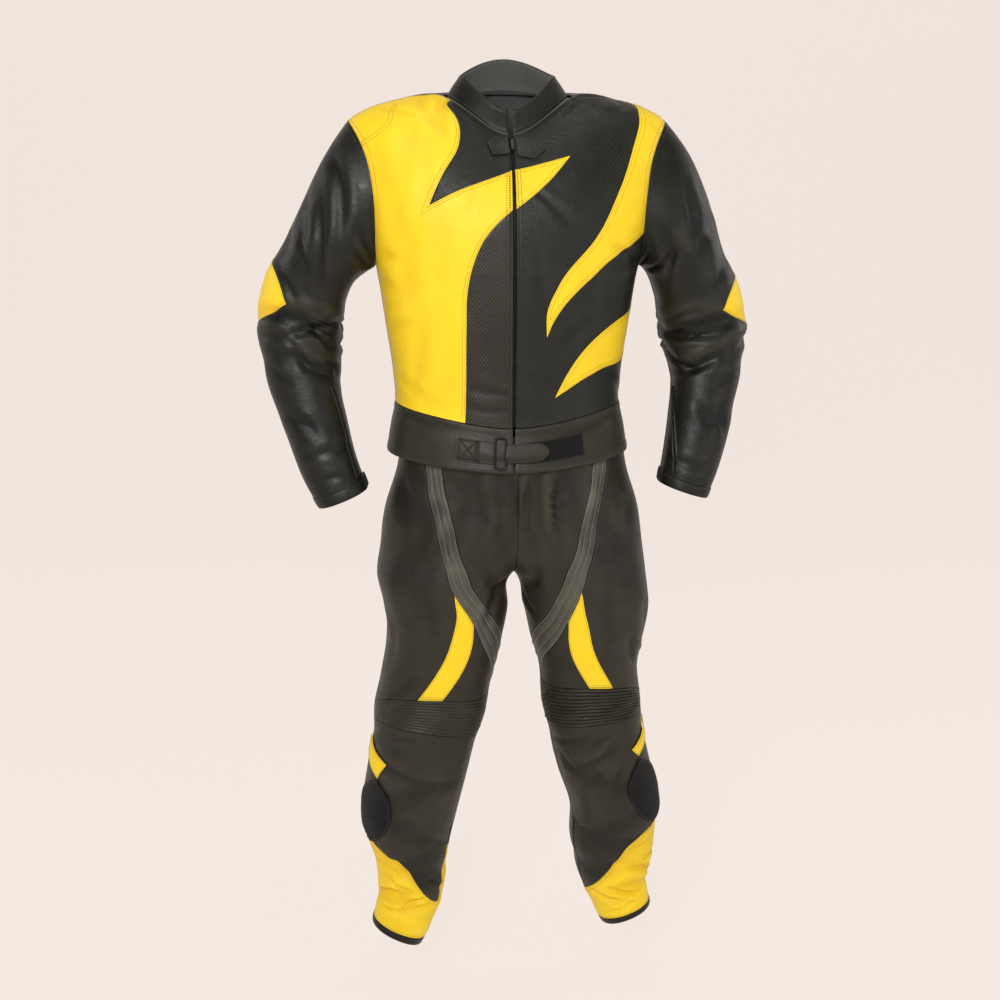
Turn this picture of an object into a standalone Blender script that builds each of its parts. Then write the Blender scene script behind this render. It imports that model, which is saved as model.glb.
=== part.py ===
"""Two-piece leather motorcycle race suit, worn shape, hollow, standing with the hands at the hips.

Metres, +Z up. The front faces -Y and the wearer's left is +X. The origin is the centre of the neck
opening at the height of the collar's base. Every panel is cut flat in its own pattern coordinates,
an angle in degrees round the body, arm or leg and a distance along it, gets its thickness, and is
then bent on to the body, sleeve or leg form that the tables of rings describe.
"""
import math

import bmesh
import bpy
import numpy as np

LEATHER = 0.0020          # wall of every leather panel
LINING = 0.0012           # wall of the collar lining
SEAM_GAP = 0.0004         # room between two panels at a seam
STRIP_GAP = 0.0015        # the same for ribbed strips, whose edges are coarser
STRETCH_GAP = 0.0020       # the bent stretch strips lie a little further from their neighbours
LAYER_GAP = 0.0007        # room under a piece that lies on a curved panel
TAB_GAP = 0.0011          # the same at the throat
PATCH_GAP = 0.0018        # the same on the knee, which curves both ways
GRID = (0.040, 0.054)     # mesh size of the panels, round the form and along it
SIGN = {"right": -1, "left": 1}

# The body from the jacket's hem up to the neck: each row is one ring.
BODY = dict(
    along=      [-.080, -.040, 0.000, 0.045, 0.125, 0.215, 0.295, 0.365, 0.425, 0.470, 0.522, 0.575, 0.600],
    half_width= [0.193, 0.187, 0.179, 0.181, 0.192, 0.206, 0.226, 0.243, 0.250, 0.218, 0.165, 0.115, 0.094],
    side_height=[-.541, -.501, -.462, -.420, -.340, -.250, -.172, -.100, -.034, -.010, 0.006, 0.014, 0.010],
    front_depth=[0.136, 0.131, 0.124, 0.126, 0.133, 0.137, 0.135, 0.122, 0.101, 0.090, 0.081, 0.074, 0.070],
    back_depth= [0.122, 0.112, 0.102, 0.100, 0.108, 0.122, 0.130, 0.130, 0.118, 0.108, 0.096, 0.084, 0.076],
    front_drop= [-.018, -.024, -.028, -.018, -.006, 0.000, -.003, -.020, -.046, -.056, -.062, -.064, -.056],
    back_drop=  [-.010, -.010, -.010, -.006, 0.000, 0.000, 0.000, 0.000, -.004, -.002, 0.002, 0.006, 0.008],
    squareness= [2.3,   2.3,   2.3,   2.3,   2.4,   2.5,   2.5,   2.4,   2.3,   2.2,   2.1,   2.0,   2.0],
)
COLLAR = dict(
    along=      [0.000, 0.025, 0.050],
    half_width= [0.093, 0.083, 0.072],
    side_height=[0.011, 0.027, 0.041],
    front_depth=[0.070, 0.064, 0.058],
    back_depth= [0.077, 0.074, 0.068],
    front_drop= [-.054, -.052, -.051],
    back_drop=  [0.009, 0.018, 0.026],
    squareness= [2.0,   2.0,   2.0],
)
# Each sleeve from the armhole down to the cuff. tilt lifts the outer side of a ring.
SLEEVE = {
    "right": dict(
        along=     [0.000, 0.050, 0.100, 0.150, 0.205, 0.265, 0.325, 0.385, 0.440, 0.505, 0.560],
        x=         [0.229, 0.257, 0.281, 0.300, 0.319, 0.329, 0.327, 0.318, 0.305, 0.286, 0.265],
        y=         [0.000, 0.000, 0.006, 0.016, 0.026, 0.030, 0.022, 0.010, 0.000, -.012, -.020],
        z=         [-.142, -.177, -.214, -.254, -.298, -.357, -.408, -.459, -.503, -.567, -.615],
        tilt=      [80.0,  68.0,  58.0,  48.0,  35.0,  19.0,  8.0,   -9.0,  -17.0, -22.0, -22.0],
        half_width=[0.108, 0.088, 0.073, 0.068, 0.072, 0.070, 0.063, 0.054, 0.050, 0.046, 0.042],
        half_depth=[0.076, 0.076, 0.074, 0.070, 0.068, 0.066, 0.060, 0.055, 0.052, 0.046, 0.042],
    ),
    "left": dict(
        along=     [0.000, 0.050, 0.100, 0.150, 0.205, 0.265, 0.325, 0.385, 0.440, 0.505, 0.560],
        x=         [0.229, 0.254, 0.274, 0.293, 0.311, 0.322, 0.325, 0.320, 0.312, 0.298, 0.284],
        y=         [0.000, 0.000, 0.006, 0.016, 0.026, 0.030, 0.022, 0.010, 0.000, -.012, -.020],
        z=         [-.142, -.172, -.212, -.262, -.312, -.363, -.412, -.458, -.504, -.564, -.611],
        tilt=      [80.0,  67.0,  54.0,  39.0,  25.0,  13.0,  4.0,   -8.0,  -14.0, -19.0, -19.0],
        half_width=[0.108, 0.091, 0.077, 0.068, 0.071, 0.070, 0.060, 0.053, 0.051, 0.047, 0.042],
        half_depth=[0.076, 0.076, 0.074, 0.070, 0.068, 0.066, 0.060, 0.055, 0.052, 0.046, 0.042],
    ),
}
# Each trouser leg from the waist, under the jacket, down to the hem. Where x is less than
# half_width the ring reaches past the middle of the body, and the leg is cut there at the rise.
LEG = {
    "right": dict(
        along=     [0.000, 0.065, 0.135, 0.195, 0.245, 0.300, 0.360, 0.425,
                    0.470, 0.530, 0.590, 0.655, 0.715, 0.775, 0.830, 0.885],
        x=         [0.000, 0.009, 0.038, 0.078, 0.112, 0.109, 0.113, 0.127,
                    0.136, 0.148, 0.160, 0.172, 0.176, 0.170, 0.177, 0.196],
        y=         [0.000, 0.000, 0.004, 0.004, 0.002, 0.000, 0.000, -.002,
                    -.004, -.004, 0.002, 0.014, 0.024, 0.030, 0.032, 0.034],
        z=         [-.505, -.570, -.640, -.700, -.748, -.803, -.861, -.926,
                    -.970, -1.030, -1.090, -1.157, -1.218, -1.277, -1.335, -1.393],
        tilt=      [0.0, 0.0, 0.0, 0.0, 1.0, 2.0, 3.0, 5.0,
                    6.0, 6.0, 7.0, 8.0, 9.0, 12.0, 18.0, 26.0],
        half_width=[0.1764, 0.176, 0.168, 0.136, 0.108, 0.101, 0.093, 0.090,
                    0.091, 0.084, 0.082, 0.079, 0.071, 0.060, 0.053, 0.046],
        half_front=[0.120, 0.118, 0.116, 0.112, 0.107, 0.102, 0.095, 0.088,
                    0.086, 0.082, 0.080, 0.074, 0.068, 0.058, 0.050, 0.046],
        half_back= [0.104, 0.111, 0.122, 0.122, 0.116, 0.106, 0.096, 0.086,
                    0.078, 0.072, 0.078, 0.084, 0.080, 0.066, 0.056, 0.050],
    ),
    "left": dict(
        along=     [0.000, 0.065, 0.135, 0.195, 0.245, 0.300, 0.360, 0.425,
                    0.470, 0.530, 0.590, 0.655, 0.715, 0.775, 0.830, 0.885],
        x=         [0.000, 0.009, 0.038, 0.078, 0.112, 0.122, 0.124, 0.127,
                    0.131, 0.141, 0.156, 0.176, 0.177, 0.181, 0.188, 0.204],
        y=         [0.000, 0.000, 0.004, 0.004, 0.002, 0.000, 0.000, -.002,
                    -.004, -.002, 0.006, 0.020, 0.032, 0.040, 0.044, 0.048],
        z=         [-.505, -.570, -.640, -.700, -.748, -.802, -.858, -.912,
                    -.960, -1.024, -1.086, -1.157, -1.219, -1.277, -1.328, -1.377],
        tilt=      [0.0, 0.0, 0.0, 0.0, 0.0, 0.0, 0.0, 1.0,
                    2.0, 3.0, 4.0, 5.0, 6.0, 9.0, 14.0, 21.0],
        half_width=[0.1764, 0.176, 0.168, 0.136, 0.108, 0.103, 0.093, 0.081,
                    0.082, 0.078, 0.078, 0.075, 0.074, 0.066, 0.053, 0.045],
        half_front=[0.120, 0.118, 0.116, 0.112, 0.107, 0.102, 0.095, 0.088,
                    0.086, 0.082, 0.080, 0.074, 0.068, 0.058, 0.050, 0.046],
        half_back= [0.104, 0.111, 0.122, 0.122, 0.116, 0.106, 0.096, 0.086,
                    0.078, 0.072, 0.078, 0.084, 0.080, 0.066, 0.056, 0.050],
    ),
}
LEG_SQUARENESS = 2.2
# The largest folds: a height over the form, gathered round a centre line that slants across the
# form. Negative heights are troughs. round is in degrees, wide and height in metres.
FOLDS = dict(
    sleeve=dict(
        angle= [-20,   0,     10,    -30,   60,    100,   20,    200],
        along= [0.205, 0.243, 0.282, 0.322, 0.140, 0.330, 0.420, 0.250],
        round= [60,    70,    60,    55,    45,    50,    60,    60],
        wide=  [0.013, 0.014, 0.015, 0.016, 0.030, 0.018, 0.022, 0.020],
        slant= [.0004, .0001, -.0003, -.0005, .0012, .0003, -.0004, 0.0],
        height=[0.004, -.006, 0.004, -.005, -.004, -.003, -.003, 0.004],
    ),
    leg=dict(
        angle= [24,    45,    70,    15,    -5,    180,   180,   180,   20,    -20,   40,    0,     150,   -60],
        along= [0.150, 0.190, 0.120, 0.610, 0.680, 0.480, 0.520, 0.560, 0.770, 0.800, 0.822, 0.848, 0.790, 0.760],
        round= [9,     10,    12,    50,    45,    60,    70,    60,    60,    70,    60,    80,    80,    60],
        wide=  [0.090, 0.080, 0.090, 0.013, 0.016, 0.014, 0.014, 0.014, 0.010, 0.011, 0.010, 0.010, 0.016, 0.014],
        slant= [0.0,   0.0,   0.0,   .0006, -.0006, 0.0,  0.0,   0.0,   .0003, -.0003, .0002, -.0002, 0.0, .0004],
        height=[-.004, -.004, -.003, -.005, -.004, 0.004, -.006, 0.004, -.005, 0.004, -.005, 0.004, 0.004, -.004],
    ),
)
PELVIS_X = 0.008          # the hips lean this far to the wearer's left
NECK_ALONG = 0.600        # where the collar is sewn to the body
ARMHOLE = dict(half_angle=19.0, middle=0.325, half_height=0.108)
SLEEVE_CAP = 0.110        # length over which the sleeve opens out to the armhole
GIRTH = dict(body=1.10, sleeve=0.42, leg=0.60, collar=0.50)


# ---------------------------------------------------------------- the forms
def between_rows(table, along):
    """Every column of a ring table at the given places, on a smooth curve through its rows."""
    rows = np.array(list(table.values()), float).T
    keys = rows[:, 0]
    slopes = np.gradient(rows, keys, axis=0)
    along = np.asarray(along, float)
    i = np.clip(np.searchsorted(keys, along) - 1, 0, len(keys) - 2)
    span = (keys[i + 1] - keys[i])[..., None]
    t = (along[..., None] - keys[i][..., None]) / span
    value = ((1 + 2 * t) * (1 - t) ** 2 * rows[i] + t * (1 - t) ** 2 * span * slopes[i]
             + t ** 2 * (3 - 2 * t) * rows[i + 1] + t ** 2 * (t - 1) * span * slopes[i + 1])
    return dict(zip(table, np.moveaxis(value, -1, 0)))


def ring(angle, half_width, front, back, squareness):
    """A rounded outline; 0 degrees is its front and 90 degrees its outer side."""
    s = np.sin(np.radians(angle))
    c = np.cos(np.radians(angle))
    depth = np.where(c > 0, front, back)
    radius = (np.abs(s / half_width) ** squareness + np.abs(c / depth) ** squareness) ** (-1 / squareness)
    return radius * s, -radius * c


def band(table, angle, along):
    """A point of the body or the collar."""
    angle, along = np.broadcast_arrays(np.asarray(angle, float), np.asarray(along, float))
    r = between_rows(table, along)
    x, y = ring(angle, r["half_width"], r["front_depth"], r["back_depth"], r["squareness"])
    c = np.cos(np.radians(angle))
    z = r["side_height"] + np.where(c > 0, r["front_drop"], r["back_drop"]) * c ** 2
    return np.stack([x, y, z], -1)


def tube(table, angle, along):
    """A point of a sleeve or a leg, on the +X side."""
    angle, along = np.broadcast_arrays(np.asarray(angle, float), np.asarray(along, float))
    r = between_rows(table, along)
    front = r["half_front"] if "half_front" in r else r["half_depth"]
    back = r["half_back"] if "half_back" in r else r["half_depth"]
    across, y = ring(angle, r["half_width"], front, back, LEG_SQUARENESS)
    tilt = np.radians(r["tilt"])
    return np.stack([r["x"] + np.cos(tilt) * across, r["y"] + y, r["z"] + np.sin(tilt) * across], -1)


def body(angle, along):
    return band(BODY, angle, along)


def collar(angle, along):
    return band(COLLAR, angle, along)


def neck_lining(angle, along):
    """The inside of the collar, and below it the inside of the body's neckline."""
    angle, along = np.broadcast_arrays(np.asarray(angle, float), np.asarray(along, float))
    above = collar(angle, np.maximum(along, 0))
    below = body(angle, NECK_ALONG + np.minimum(along, 0))
    return np.where((along >= 0)[..., None], above, below)


def armhole(angle):
    """A point of the armhole in the body's coordinates, for an angle round the sleeve."""
    a = np.radians(angle)
    round_body = 90 - ARMHOLE["half_angle"] * np.cos(a)
    return round_body, ARMHOLE["middle"] + ARMHOLE["half_height"] * np.sin(a)


def sleeve(side):
    def form(angle, along):
        angle, along = np.broadcast_arrays(np.asarray(angle, float), np.asarray(along, float))
        rim_angle, rim_along = armhole(angle)
        rim = body(rim_angle, rim_along) + LAYER_GAP * normal(body, rim_angle, rim_along)
        t = np.clip(along / SLEEVE_CAP, 0, 1)
        open_out = 1 - t * t * (3 - 2 * t)
        point = tube(SLEEVE[side], angle, along)
        point = point + (rim - tube(SLEEVE[side], angle, 0 * along)) * open_out[..., None]
        point[..., 0] *= SIGN[side]
        return point
    form.facing = -SIGN[side]
    form.folds = FOLDS["sleeve"]
    return form


def leg(side):
    def form(angle, along):
        point = tube(LEG[side], angle, along)
        point[..., 0] = PELVIS_X + SIGN[side] * point[..., 0]
        return point
    form.facing = -SIGN[side]
    form.middle = (PELVIS_X, SIGN[side])
    form.folds = FOLDS["leg"]
    return form


def folds(table, angle, along):
    """The height of the cloth over its form, from the rows of a fold table."""
    total = 0 * along
    for middle, centre, reach, wide, slant, height in zip(*table.values()):
        turn = (angle - middle + 180) % 360 - 180
        line = along - centre - slant * turn
        total = total + height * np.exp(-(turn / reach) ** 2 - (line / wide) ** 2)
    return total


def laid(form, angle, along, height):
    """Points at a height over a form. A leg's stay on its own side of the rise."""
    if hasattr(form, "folds"):
        height = height + folds(form.folds, angle, along)
    point = form(angle, along) + normal(form, angle, along) * height[:, None]
    if hasattr(form, "middle"):
        middle, sign = form.middle
        point[:, 0] = middle + sign * np.maximum(sign * (point[:, 0] - middle), SEAM_GAP / 2)
    return point


def normal(form, angle, along):
    """The direction out of a form's surface."""
    turn, step = 0.5, 0.001
    across = form(angle + turn, along) - form(angle - turn, along)
    up = form(angle, along + step) - form(angle, along - step)
    n = np.cross(across, up) * getattr(form, "facing", 1)
    return n / np.linalg.norm(n, axis=-1, keepdims=True)


# ---------------------------------------------------------------- seam lines, in pattern coordinates
def smooth(*rows, spacing=0.02, girth=GIRTH["body"]):
    """A smooth line through (angle, along) rows, as evenly spaced points."""
    p = np.array(rows, float)
    scale = np.array([girth / 360, 1.0])
    keys = np.concatenate([[0], np.cumsum(np.linalg.norm(np.diff(p * scale, axis=0), axis=1))])
    count = max(2, int(round(keys[-1] / spacing)) + 1)
    at = np.linspace(0, keys[-1], count)
    if len(p) == 2:
        return p[0] + (p[1] - p[0]) * (at / keys[-1])[:, None]
    slopes = np.gradient(p, keys, axis=0)
    i = np.clip(np.searchsorted(keys, at) - 1, 0, len(keys) - 2)
    span = (keys[i + 1] - keys[i])[:, None]
    t = (at[:, None] - keys[i][:, None]) / span
    return ((1 + 2 * t) * (1 - t) ** 2 * p[i] + t * (1 - t) ** 2 * span * slopes[i]
            + t ** 2 * (3 - 2 * t) * p[i + 1] + t ** 2 * (t - 1) * span * slopes[i + 1])


def armhole_line(side, start, end, turn=0):
    """The armhole between two angles round the sleeve; turn adds a full circle on the back."""
    steps = max(2, int(abs(end - start) / 15) + 1)
    round_body, along = armhole(np.linspace(start, end, steps))
    return np.stack([SIGN[side] * round_body + turn, along], -1)


def joined(*lines):
    """One closed outline from lines laid end to end, without its repeated corners."""
    points = []
    for line in lines:
        for point in np.asarray(line, float):
            if not points or np.hypot((point[0] - points[-1][0]) * 0.003, point[1] - points[-1][1]) > 0.0008:
                points.append(point)
    if np.hypot((points[0][0] - points[-1][0]) * 0.003, points[0][1] - points[-1][1]) < 0.0008:
        points.pop()
    return np.array(points)


def smooth_corners(*rows, spacing=0.03):
    """A closed outline with straight sides between corners."""
    return joined(*[smooth(a, b, spacing=spacing) for a, b in zip(rows, rows[1:] + rows[:1])])


# ---------------------------------------------------------------- making cloth
def material(name, hex_colour, roughness=0.45, metallic=0.0):
    mat = bpy.data.materials.get(name)
    if mat is None:
        mat = bpy.data.materials.new(name)
        mat.use_nodes = True
        shader = mat.node_tree.nodes["Principled BSDF"]
        rgb = [int(hex_colour[k:k + 2], 16) / 255 for k in (0, 2, 4)]
        linear = [c / 12.92 if c <= 0.04045 else ((c + 0.055) / 1.055) ** 2.4 for c in rgb]
        shader.inputs["Base Color"].default_value = (*linear, 1)
        shader.inputs["Roughness"].default_value = roughness
        shader.inputs["Metallic"].default_value = metallic
    return mat


MATERIALS = {
    "black": ("black_leather", "2a2b26"),
    "brown": ("black_trouser_leather", "383229"),
    "yellow": ("yellow_leather", "fbdc2a"),
    "grey": ("grey_stretch", "5a5b56", 0.7),
    "lining": ("grey_lining", "4d4e49", 0.8),
    "hook": ("hook_loop", "1b1c1b", 0.9),
    "metal": ("black_metal", "26262a", 0.35, 0.8),
}


def add_object(name, bm, kind):
    bmesh.ops.recalc_face_normals(bm, faces=bm.faces[:])
    if bm.calc_volume(signed=True) < 0:
        bmesh.ops.reverse_faces(bm, faces=bm.faces[:])
    mesh = bpy.data.meshes.new(name)
    bm.to_mesh(mesh)
    bm.free()
    mesh.materials.append(material(*MATERIALS[kind]))
    obj = bpy.data.objects.new(name, mesh)
    PARTS.objects.link(obj)
    return obj


def bend(bm, form, scale, thickness, base, share=None, relief=None, lift=None):
    """Give a flat pattern piece its wall and lay it on a form.

    scale is metres of pattern per degree. The outer face lies at base and the inner face thickness
    below it. share is a layer that holds how far across the piece each point is, from 0 to 1:
    relief raises the outer face by a function of it, and lift moves both faces.
    """
    bmesh.ops.triangulate(bm, faces=bm.faces[:], quad_method="ALTERNATE", ngon_method="BEAUTY")
    result = bmesh.ops.extrude_face_region(bm, geom=bm.faces[:])
    raised = [v for v in result["geom"] if isinstance(v, bmesh.types.BMVert)]
    bmesh.ops.translate(bm, verts=raised, vec=(0, 0, 1))
    flat = np.array([v.co[:] for v in bm.verts])
    outer = flat[:, 2]
    height = base - thickness * (1 - outer)
    if relief is not None:
        height = height + relief(np.array([v[share] for v in bm.verts])) * outer
    if lift is not None:
        height = height + lift(np.array([v[share] for v in bm.verts]))
    place = laid(form, flat[:, 0] / scale, flat[:, 1], height)
    for vert, co in zip(bm.verts, place):
        vert.co = co


def inset(points, amount):
    """A closed outline moved inwards by amount."""
    area = np.sum(points[:, 0] * np.roll(points[:, 1], -1) - np.roll(points[:, 0], -1) * points[:, 1])
    before = points - np.roll(points, 1, axis=0)
    after = np.roll(points, -1, axis=0) - points
    turn = np.array([[0, 1], [-1, 0]]) * np.sign(area)
    n1 = before / np.linalg.norm(before, axis=1, keepdims=True) @ turn
    n2 = after / np.linalg.norm(after, axis=1, keepdims=True) @ turn
    mitre = (n1 + n2) / np.maximum(1 + np.sum(n1 * n2, axis=1, keepdims=True), 0.25)
    return points + mitre * amount


def cut_panel(name, kind, form, outline, girth, thickness=LEATHER, base=0.0, step=GRID):
    """A panel cut to an outline of (angle, along) points."""
    scale = girth / 360
    points = inset(np.asarray(outline) * [scale, 1.0], SEAM_GAP / 2)
    bm = bmesh.new()
    bm.faces.new([bm.verts.new((u, v, 0)) for u, v in points])
    for axis in (0, 1):
        low, high = points[:, axis].min(), points[:, axis].max()
        for k in range(math.ceil(low / step[axis] - 0.5), math.floor(high / step[axis] - 0.5) + 1):
            place, across = [0, 0, 0], [0, 0, 0]
            place[axis] = (k + 0.5) * step[axis]
            across[axis] = 1
            geometry = bm.verts[:] + bm.edges[:] + bm.faces[:]
            bmesh.ops.bisect_plane(bm, geom=geometry, plane_co=place, plane_no=across, dist=1e-6)
    bmesh.ops.remove_doubles(bm, verts=bm.verts[:], dist=0.0006)
    bend(bm, form, scale, thickness, base)
    return add_object(name, bm, kind)


def strip_panel(name, kind, form, first, second, rows, girth, thickness=LEATHER, base=0.0,
                relief=None, lift=None, gap=SEAM_GAP):
    """A panel between two edges with as many points each, cut across into a number of rows."""
    scale = girth / 360
    first = np.asarray(first) * [scale, 1.0]
    second = np.asarray(second) * [scale, 1.0]
    outline = inset(np.concatenate([first, second[::-1]]), gap / 2)
    first, second = outline[:len(first)], outline[len(first):][::-1]
    bm = bmesh.new()
    columns = len(first) - 1
    bmesh.ops.create_grid(bm, x_segments=rows, y_segments=columns, size=0.5)
    share = bm.verts.layers.float.new("share")
    for vert in bm.verts:
        vert[share] = vert.co.x + 0.5
        i = int(round((vert.co.y + 0.5) * columns))
        vert.co.xy = first[i] + (second[i] - first[i]) * vert[share]
    bend(bm, form, scale, thickness, base, share, relief, lift)
    return add_object(name, bm, kind)


def ring_strip(name, kind, form, low, high, rows, girth, start, end, columns, **settings):
    """A band between two distances along a form, from one angle to another."""
    angles = np.linspace(start, end, columns + 1)
    first = np.stack([angles, np.full(columns + 1, low)], -1)
    second = np.stack([angles, np.full(columns + 1, high)], -1)
    return strip_panel(name, kind, form, first, second, rows, girth, **settings)


def ribs(count, height):
    """Soft parallel ribs across a strip, one crest in each of count equal bands."""
    def relief(t):
        return height * np.sin(np.pi * count * t) ** 2
    return relief


# ---------------------------------------------------------------- start
for old in list(bpy.data.objects):
    bpy.data.objects.remove(old, do_unlink=True)
PARTS = bpy.data.collections.new("motorcycle_race_suit")
bpy.context.scene.collection.children.link(PARTS)

# ---------------------------------------------------------------- the jacket's fronts and back
ZIP_EDGE = 1.2            # the fronts stop this many degrees from the zip's middle
NECKLINE = 0.592
SIDE = 90
SHOULDER_BREAK = 0.512    # the left slash ends here on the shoulder seam
SHOULDER_OUT = {side: smooth((SIGN[side] * 90, 0.433), (SIGN[side] * 90, SHOULDER_BREAK)) for side in SIGN}
SHOULDER_IN = {side: smooth((SIGN[side] * 90, SHOULDER_BREAK), (SIGN[side] * 84, 0.555),
                            (SIGN[side] * 76, NECKLINE)) for side in SIGN}
FLASH_ABOVE = smooth((-47, 0.321), (-35, 0.347), (-23, 0.366), (-ZIP_EDGE, 0.394))
FLASH_BELOW = smooth((-ZIP_EDGE, 0.317), (-10, 0.295), (-17.7, 0.270), (-25, 0.226), (-28.4, 0.184),
                     (-29.6, 0.133), (-32.8, 0.0))
FLASH_TIP = smooth((ZIP_EDGE, 0.396), (20, 0.401), (40, 0.403))
FLASH_TIP_BELOW = smooth((40, 0.403), (24, 0.367), (9.5, 0.335), (ZIP_EDGE, 0.318))
THROAT = smooth((-68, NECKLINE), (-62, 0.560), (-49, 0.515), (-41, 0.450), (-39.7, 0.413), (-43, 0.375),
                (-47, 0.321))
SLASH_INNER = smooth((90, SHOULDER_BREAK), (77, 0.465), (68, 0.411), (58, 0.345), (45, 0.264), (27, 0.196),
                     (20.5, 0.155), (20.9, 0.121))
SLASH_OUTER = smooth((20.9, 0.121), (24.5, 0.142), (32, 0.170), (43.6, 0.202), (54, 0.232),
                     (64, 0.252), (73.6, 0.270))
CLAW_ABOVE = smooth((27.9, 0.036), (34.8, 0.067), (41.5, 0.092), (50, 0.115), (62, 0.136), (75, 0.148),
                    (SIDE, 0.168))
CLAW_BELOW = smooth((SIDE, 0.078), (75, 0.070), (58.9, 0.067), (46, 0.057), (36, 0.045), (27.9, 0.036))
SLASH_MEETS_ARMHOLE = -30.6


def make_fronts():
    right_waist = [(-32.8, 0.0), (-50, 0.0), (-70, 0.0), (-SIDE, 0.0)]
    right_side = [(-SIDE, 0.0), (-SIDE, 0.07), (-SIDE, 0.14), (-SIDE, 0.217)]
    cut_panel("front_right_yellow", "yellow", body, joined(
        THROAT, FLASH_ABOVE, FLASH_BELOW, right_waist, right_side,
        armhole_line("right", -90, 90), SHOULDER_OUT["right"], SHOULDER_IN["right"],
        [(-76, NECKLINE), (-68, NECKLINE)]), GIRTH["body"])
    cut_panel("front_right_upper", "black", body, joined(
        THROAT[::-1], [(-68, NECKLINE), (-45, NECKLINE), (-20, NECKLINE), (-ZIP_EDGE, NECKLINE)],
        [(-ZIP_EDGE, NECKLINE), (-ZIP_EDGE, 0.48), (-ZIP_EDGE, 0.394)], FLASH_ABOVE[::-1]), GIRTH["body"])
    cut_panel("front_right_lower", "black", body, joined(
        FLASH_BELOW, [(-32.8, 0.0), (-16, 0.0), (-ZIP_EDGE, 0.0)],
        [(-ZIP_EDGE, 0.0), (-ZIP_EDGE, 0.156), (-ZIP_EDGE, 0.317)]), GIRTH["body"])
    cut_panel("front_left_flash", "yellow", body, joined(FLASH_TIP, FLASH_TIP_BELOW), GIRTH["body"])
    cut_panel("front_left_slash", "yellow", body, joined(
        SLASH_INNER, SLASH_OUTER, armhole_line("left", SLASH_MEETS_ARMHOLE, 90),
        SHOULDER_OUT["left"]), GIRTH["body"])
    cut_panel("front_left_claw", "yellow", body, joined(
        CLAW_ABOVE, [(SIDE, 0.168), (SIDE, 0.123), (SIDE, 0.078)], CLAW_BELOW), GIRTH["body"])
    cut_panel("front_left_black", "black", body, joined(
        SHOULDER_IN["left"], [(76, NECKLINE), (60, NECKLINE), (30, NECKLINE), (ZIP_EDGE, NECKLINE)],
        [(ZIP_EDGE, NECKLINE), (ZIP_EDGE, 0.48), (ZIP_EDGE, 0.396)], FLASH_TIP, FLASH_TIP_BELOW,
        [(ZIP_EDGE, 0.318), (ZIP_EDGE, 0.156), (ZIP_EDGE, 0.0)],
        [(ZIP_EDGE, 0.0), (30, 0.0), (60, 0.0), (SIDE, 0.0)], [(SIDE, 0.0), (SIDE, 0.078)],
        CLAW_BELOW, CLAW_ABOVE, [(SIDE, 0.168), (SIDE, 0.217)],
        armhole_line("left", -90, SLASH_MEETS_ARMHOLE), SLASH_OUTER[::-1], SLASH_INNER[::-1]),
        GIRTH["body"])


def make_back():
    yoke_end, yoke_along = armhole(180)
    yoke_seam = smooth((yoke_end, yoke_along), (180, yoke_along - 0.012), (360 - yoke_end, yoke_along))
    full_turn = [360, 0]
    cut_panel("back_yoke", "black", body, joined(
        yoke_seam, armhole_line("right", 180, 90, 360),
        SHOULDER_OUT["right"] + full_turn, SHOULDER_IN["right"] + full_turn,
        [(284, NECKLINE), (232, NECKLINE), (180, NECKLINE), (128, NECKLINE), (76, NECKLINE)],
        SHOULDER_IN["left"][::-1], SHOULDER_OUT["left"][::-1], armhole_line("left", 90, 180)), GIRTH["body"])
    cut_panel("back_lower", "black", body, joined(
        [(SIDE, 0.0), (135, 0.0), (180, 0.0), (225, 0.0), (270, 0.0)], [(270, 0.0), (270, 0.1), (270, 0.217)],
        armhole_line("right", 270, 180, 360), yoke_seam[::-1], armhole_line("left", 180, 270),
        [(SIDE, 0.217), (SIDE, 0.1), (SIDE, 0.0)]), GIRTH["body"])


COLLAR_HEIGHT = 0.050
COLLAR_OPEN = 3.5         # degrees from the front's middle to the collar's ends
TURN_IN = 0.004           # how far the lining's foot lies inside the body


def lining_lift(t):
    """The lining's foot, in the first rows, keeps clear of the panels' upper edges."""
    return -TURN_IN * np.clip((0.4 - t) / 0.3, 0, 1)


def make_collar():
    start, end = COLLAR_OPEN, 360 - COLLAR_OPEN
    ring_strip("collar", "black", collar, 0.0, COLLAR_HEIGHT, 2, GIRTH["collar"], start, end, 28)
    ring_strip("collar_lining", "lining", neck_lining, -0.024, COLLAR_HEIGHT - 0.003, 3, GIRTH["collar"],
               start, end, 28, thickness=LINING, base=-LEATHER - LAYER_GAP, lift=lining_lift)
    tab_right = smooth_corners((-4, 0.528), (-16, 0.533), (-23, 0.460), (-17, 0.422), (-2.5, 0.436))
    tab_left = smooth_corners((4, 0.535), (14, 0.515), (27, 0.428), (18, 0.412), (4, 0.428))
    for name, outline in (("neck_tab_right", tab_right), ("neck_tab_left", tab_left)):
        cut_panel(name, "black", body, outline, GIRTH["body"], base=LEATHER + TAB_GAP)


# ---------------------------------------------------------------- the front zip, its slider and pull
ZIP_TOP = 0.560
SLIDER_ALONG = 0.500
SLIDER = dict(width=0.008, height=0.011, depth=0.004, edge=0.0008)
PULL = dict(width=0.007, height=0.022, depth=0.0014, edge=0.0004)
ABOVE_ZIP = 0.0012        # room under the slider
HINGE_UP = 0.003          # the pull's hinge over the slider's middle


def make_zip():
    along = np.linspace(0.002, ZIP_TOP, 16)
    edges = [np.stack([np.full(len(along), a), along], -1) for a in (-ZIP_EDGE, ZIP_EDGE)]
    strip_panel("front_zip", "hook", body, *edges, 2, GIRTH["body"], thickness=0.0016, base=-0.0002)


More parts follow.
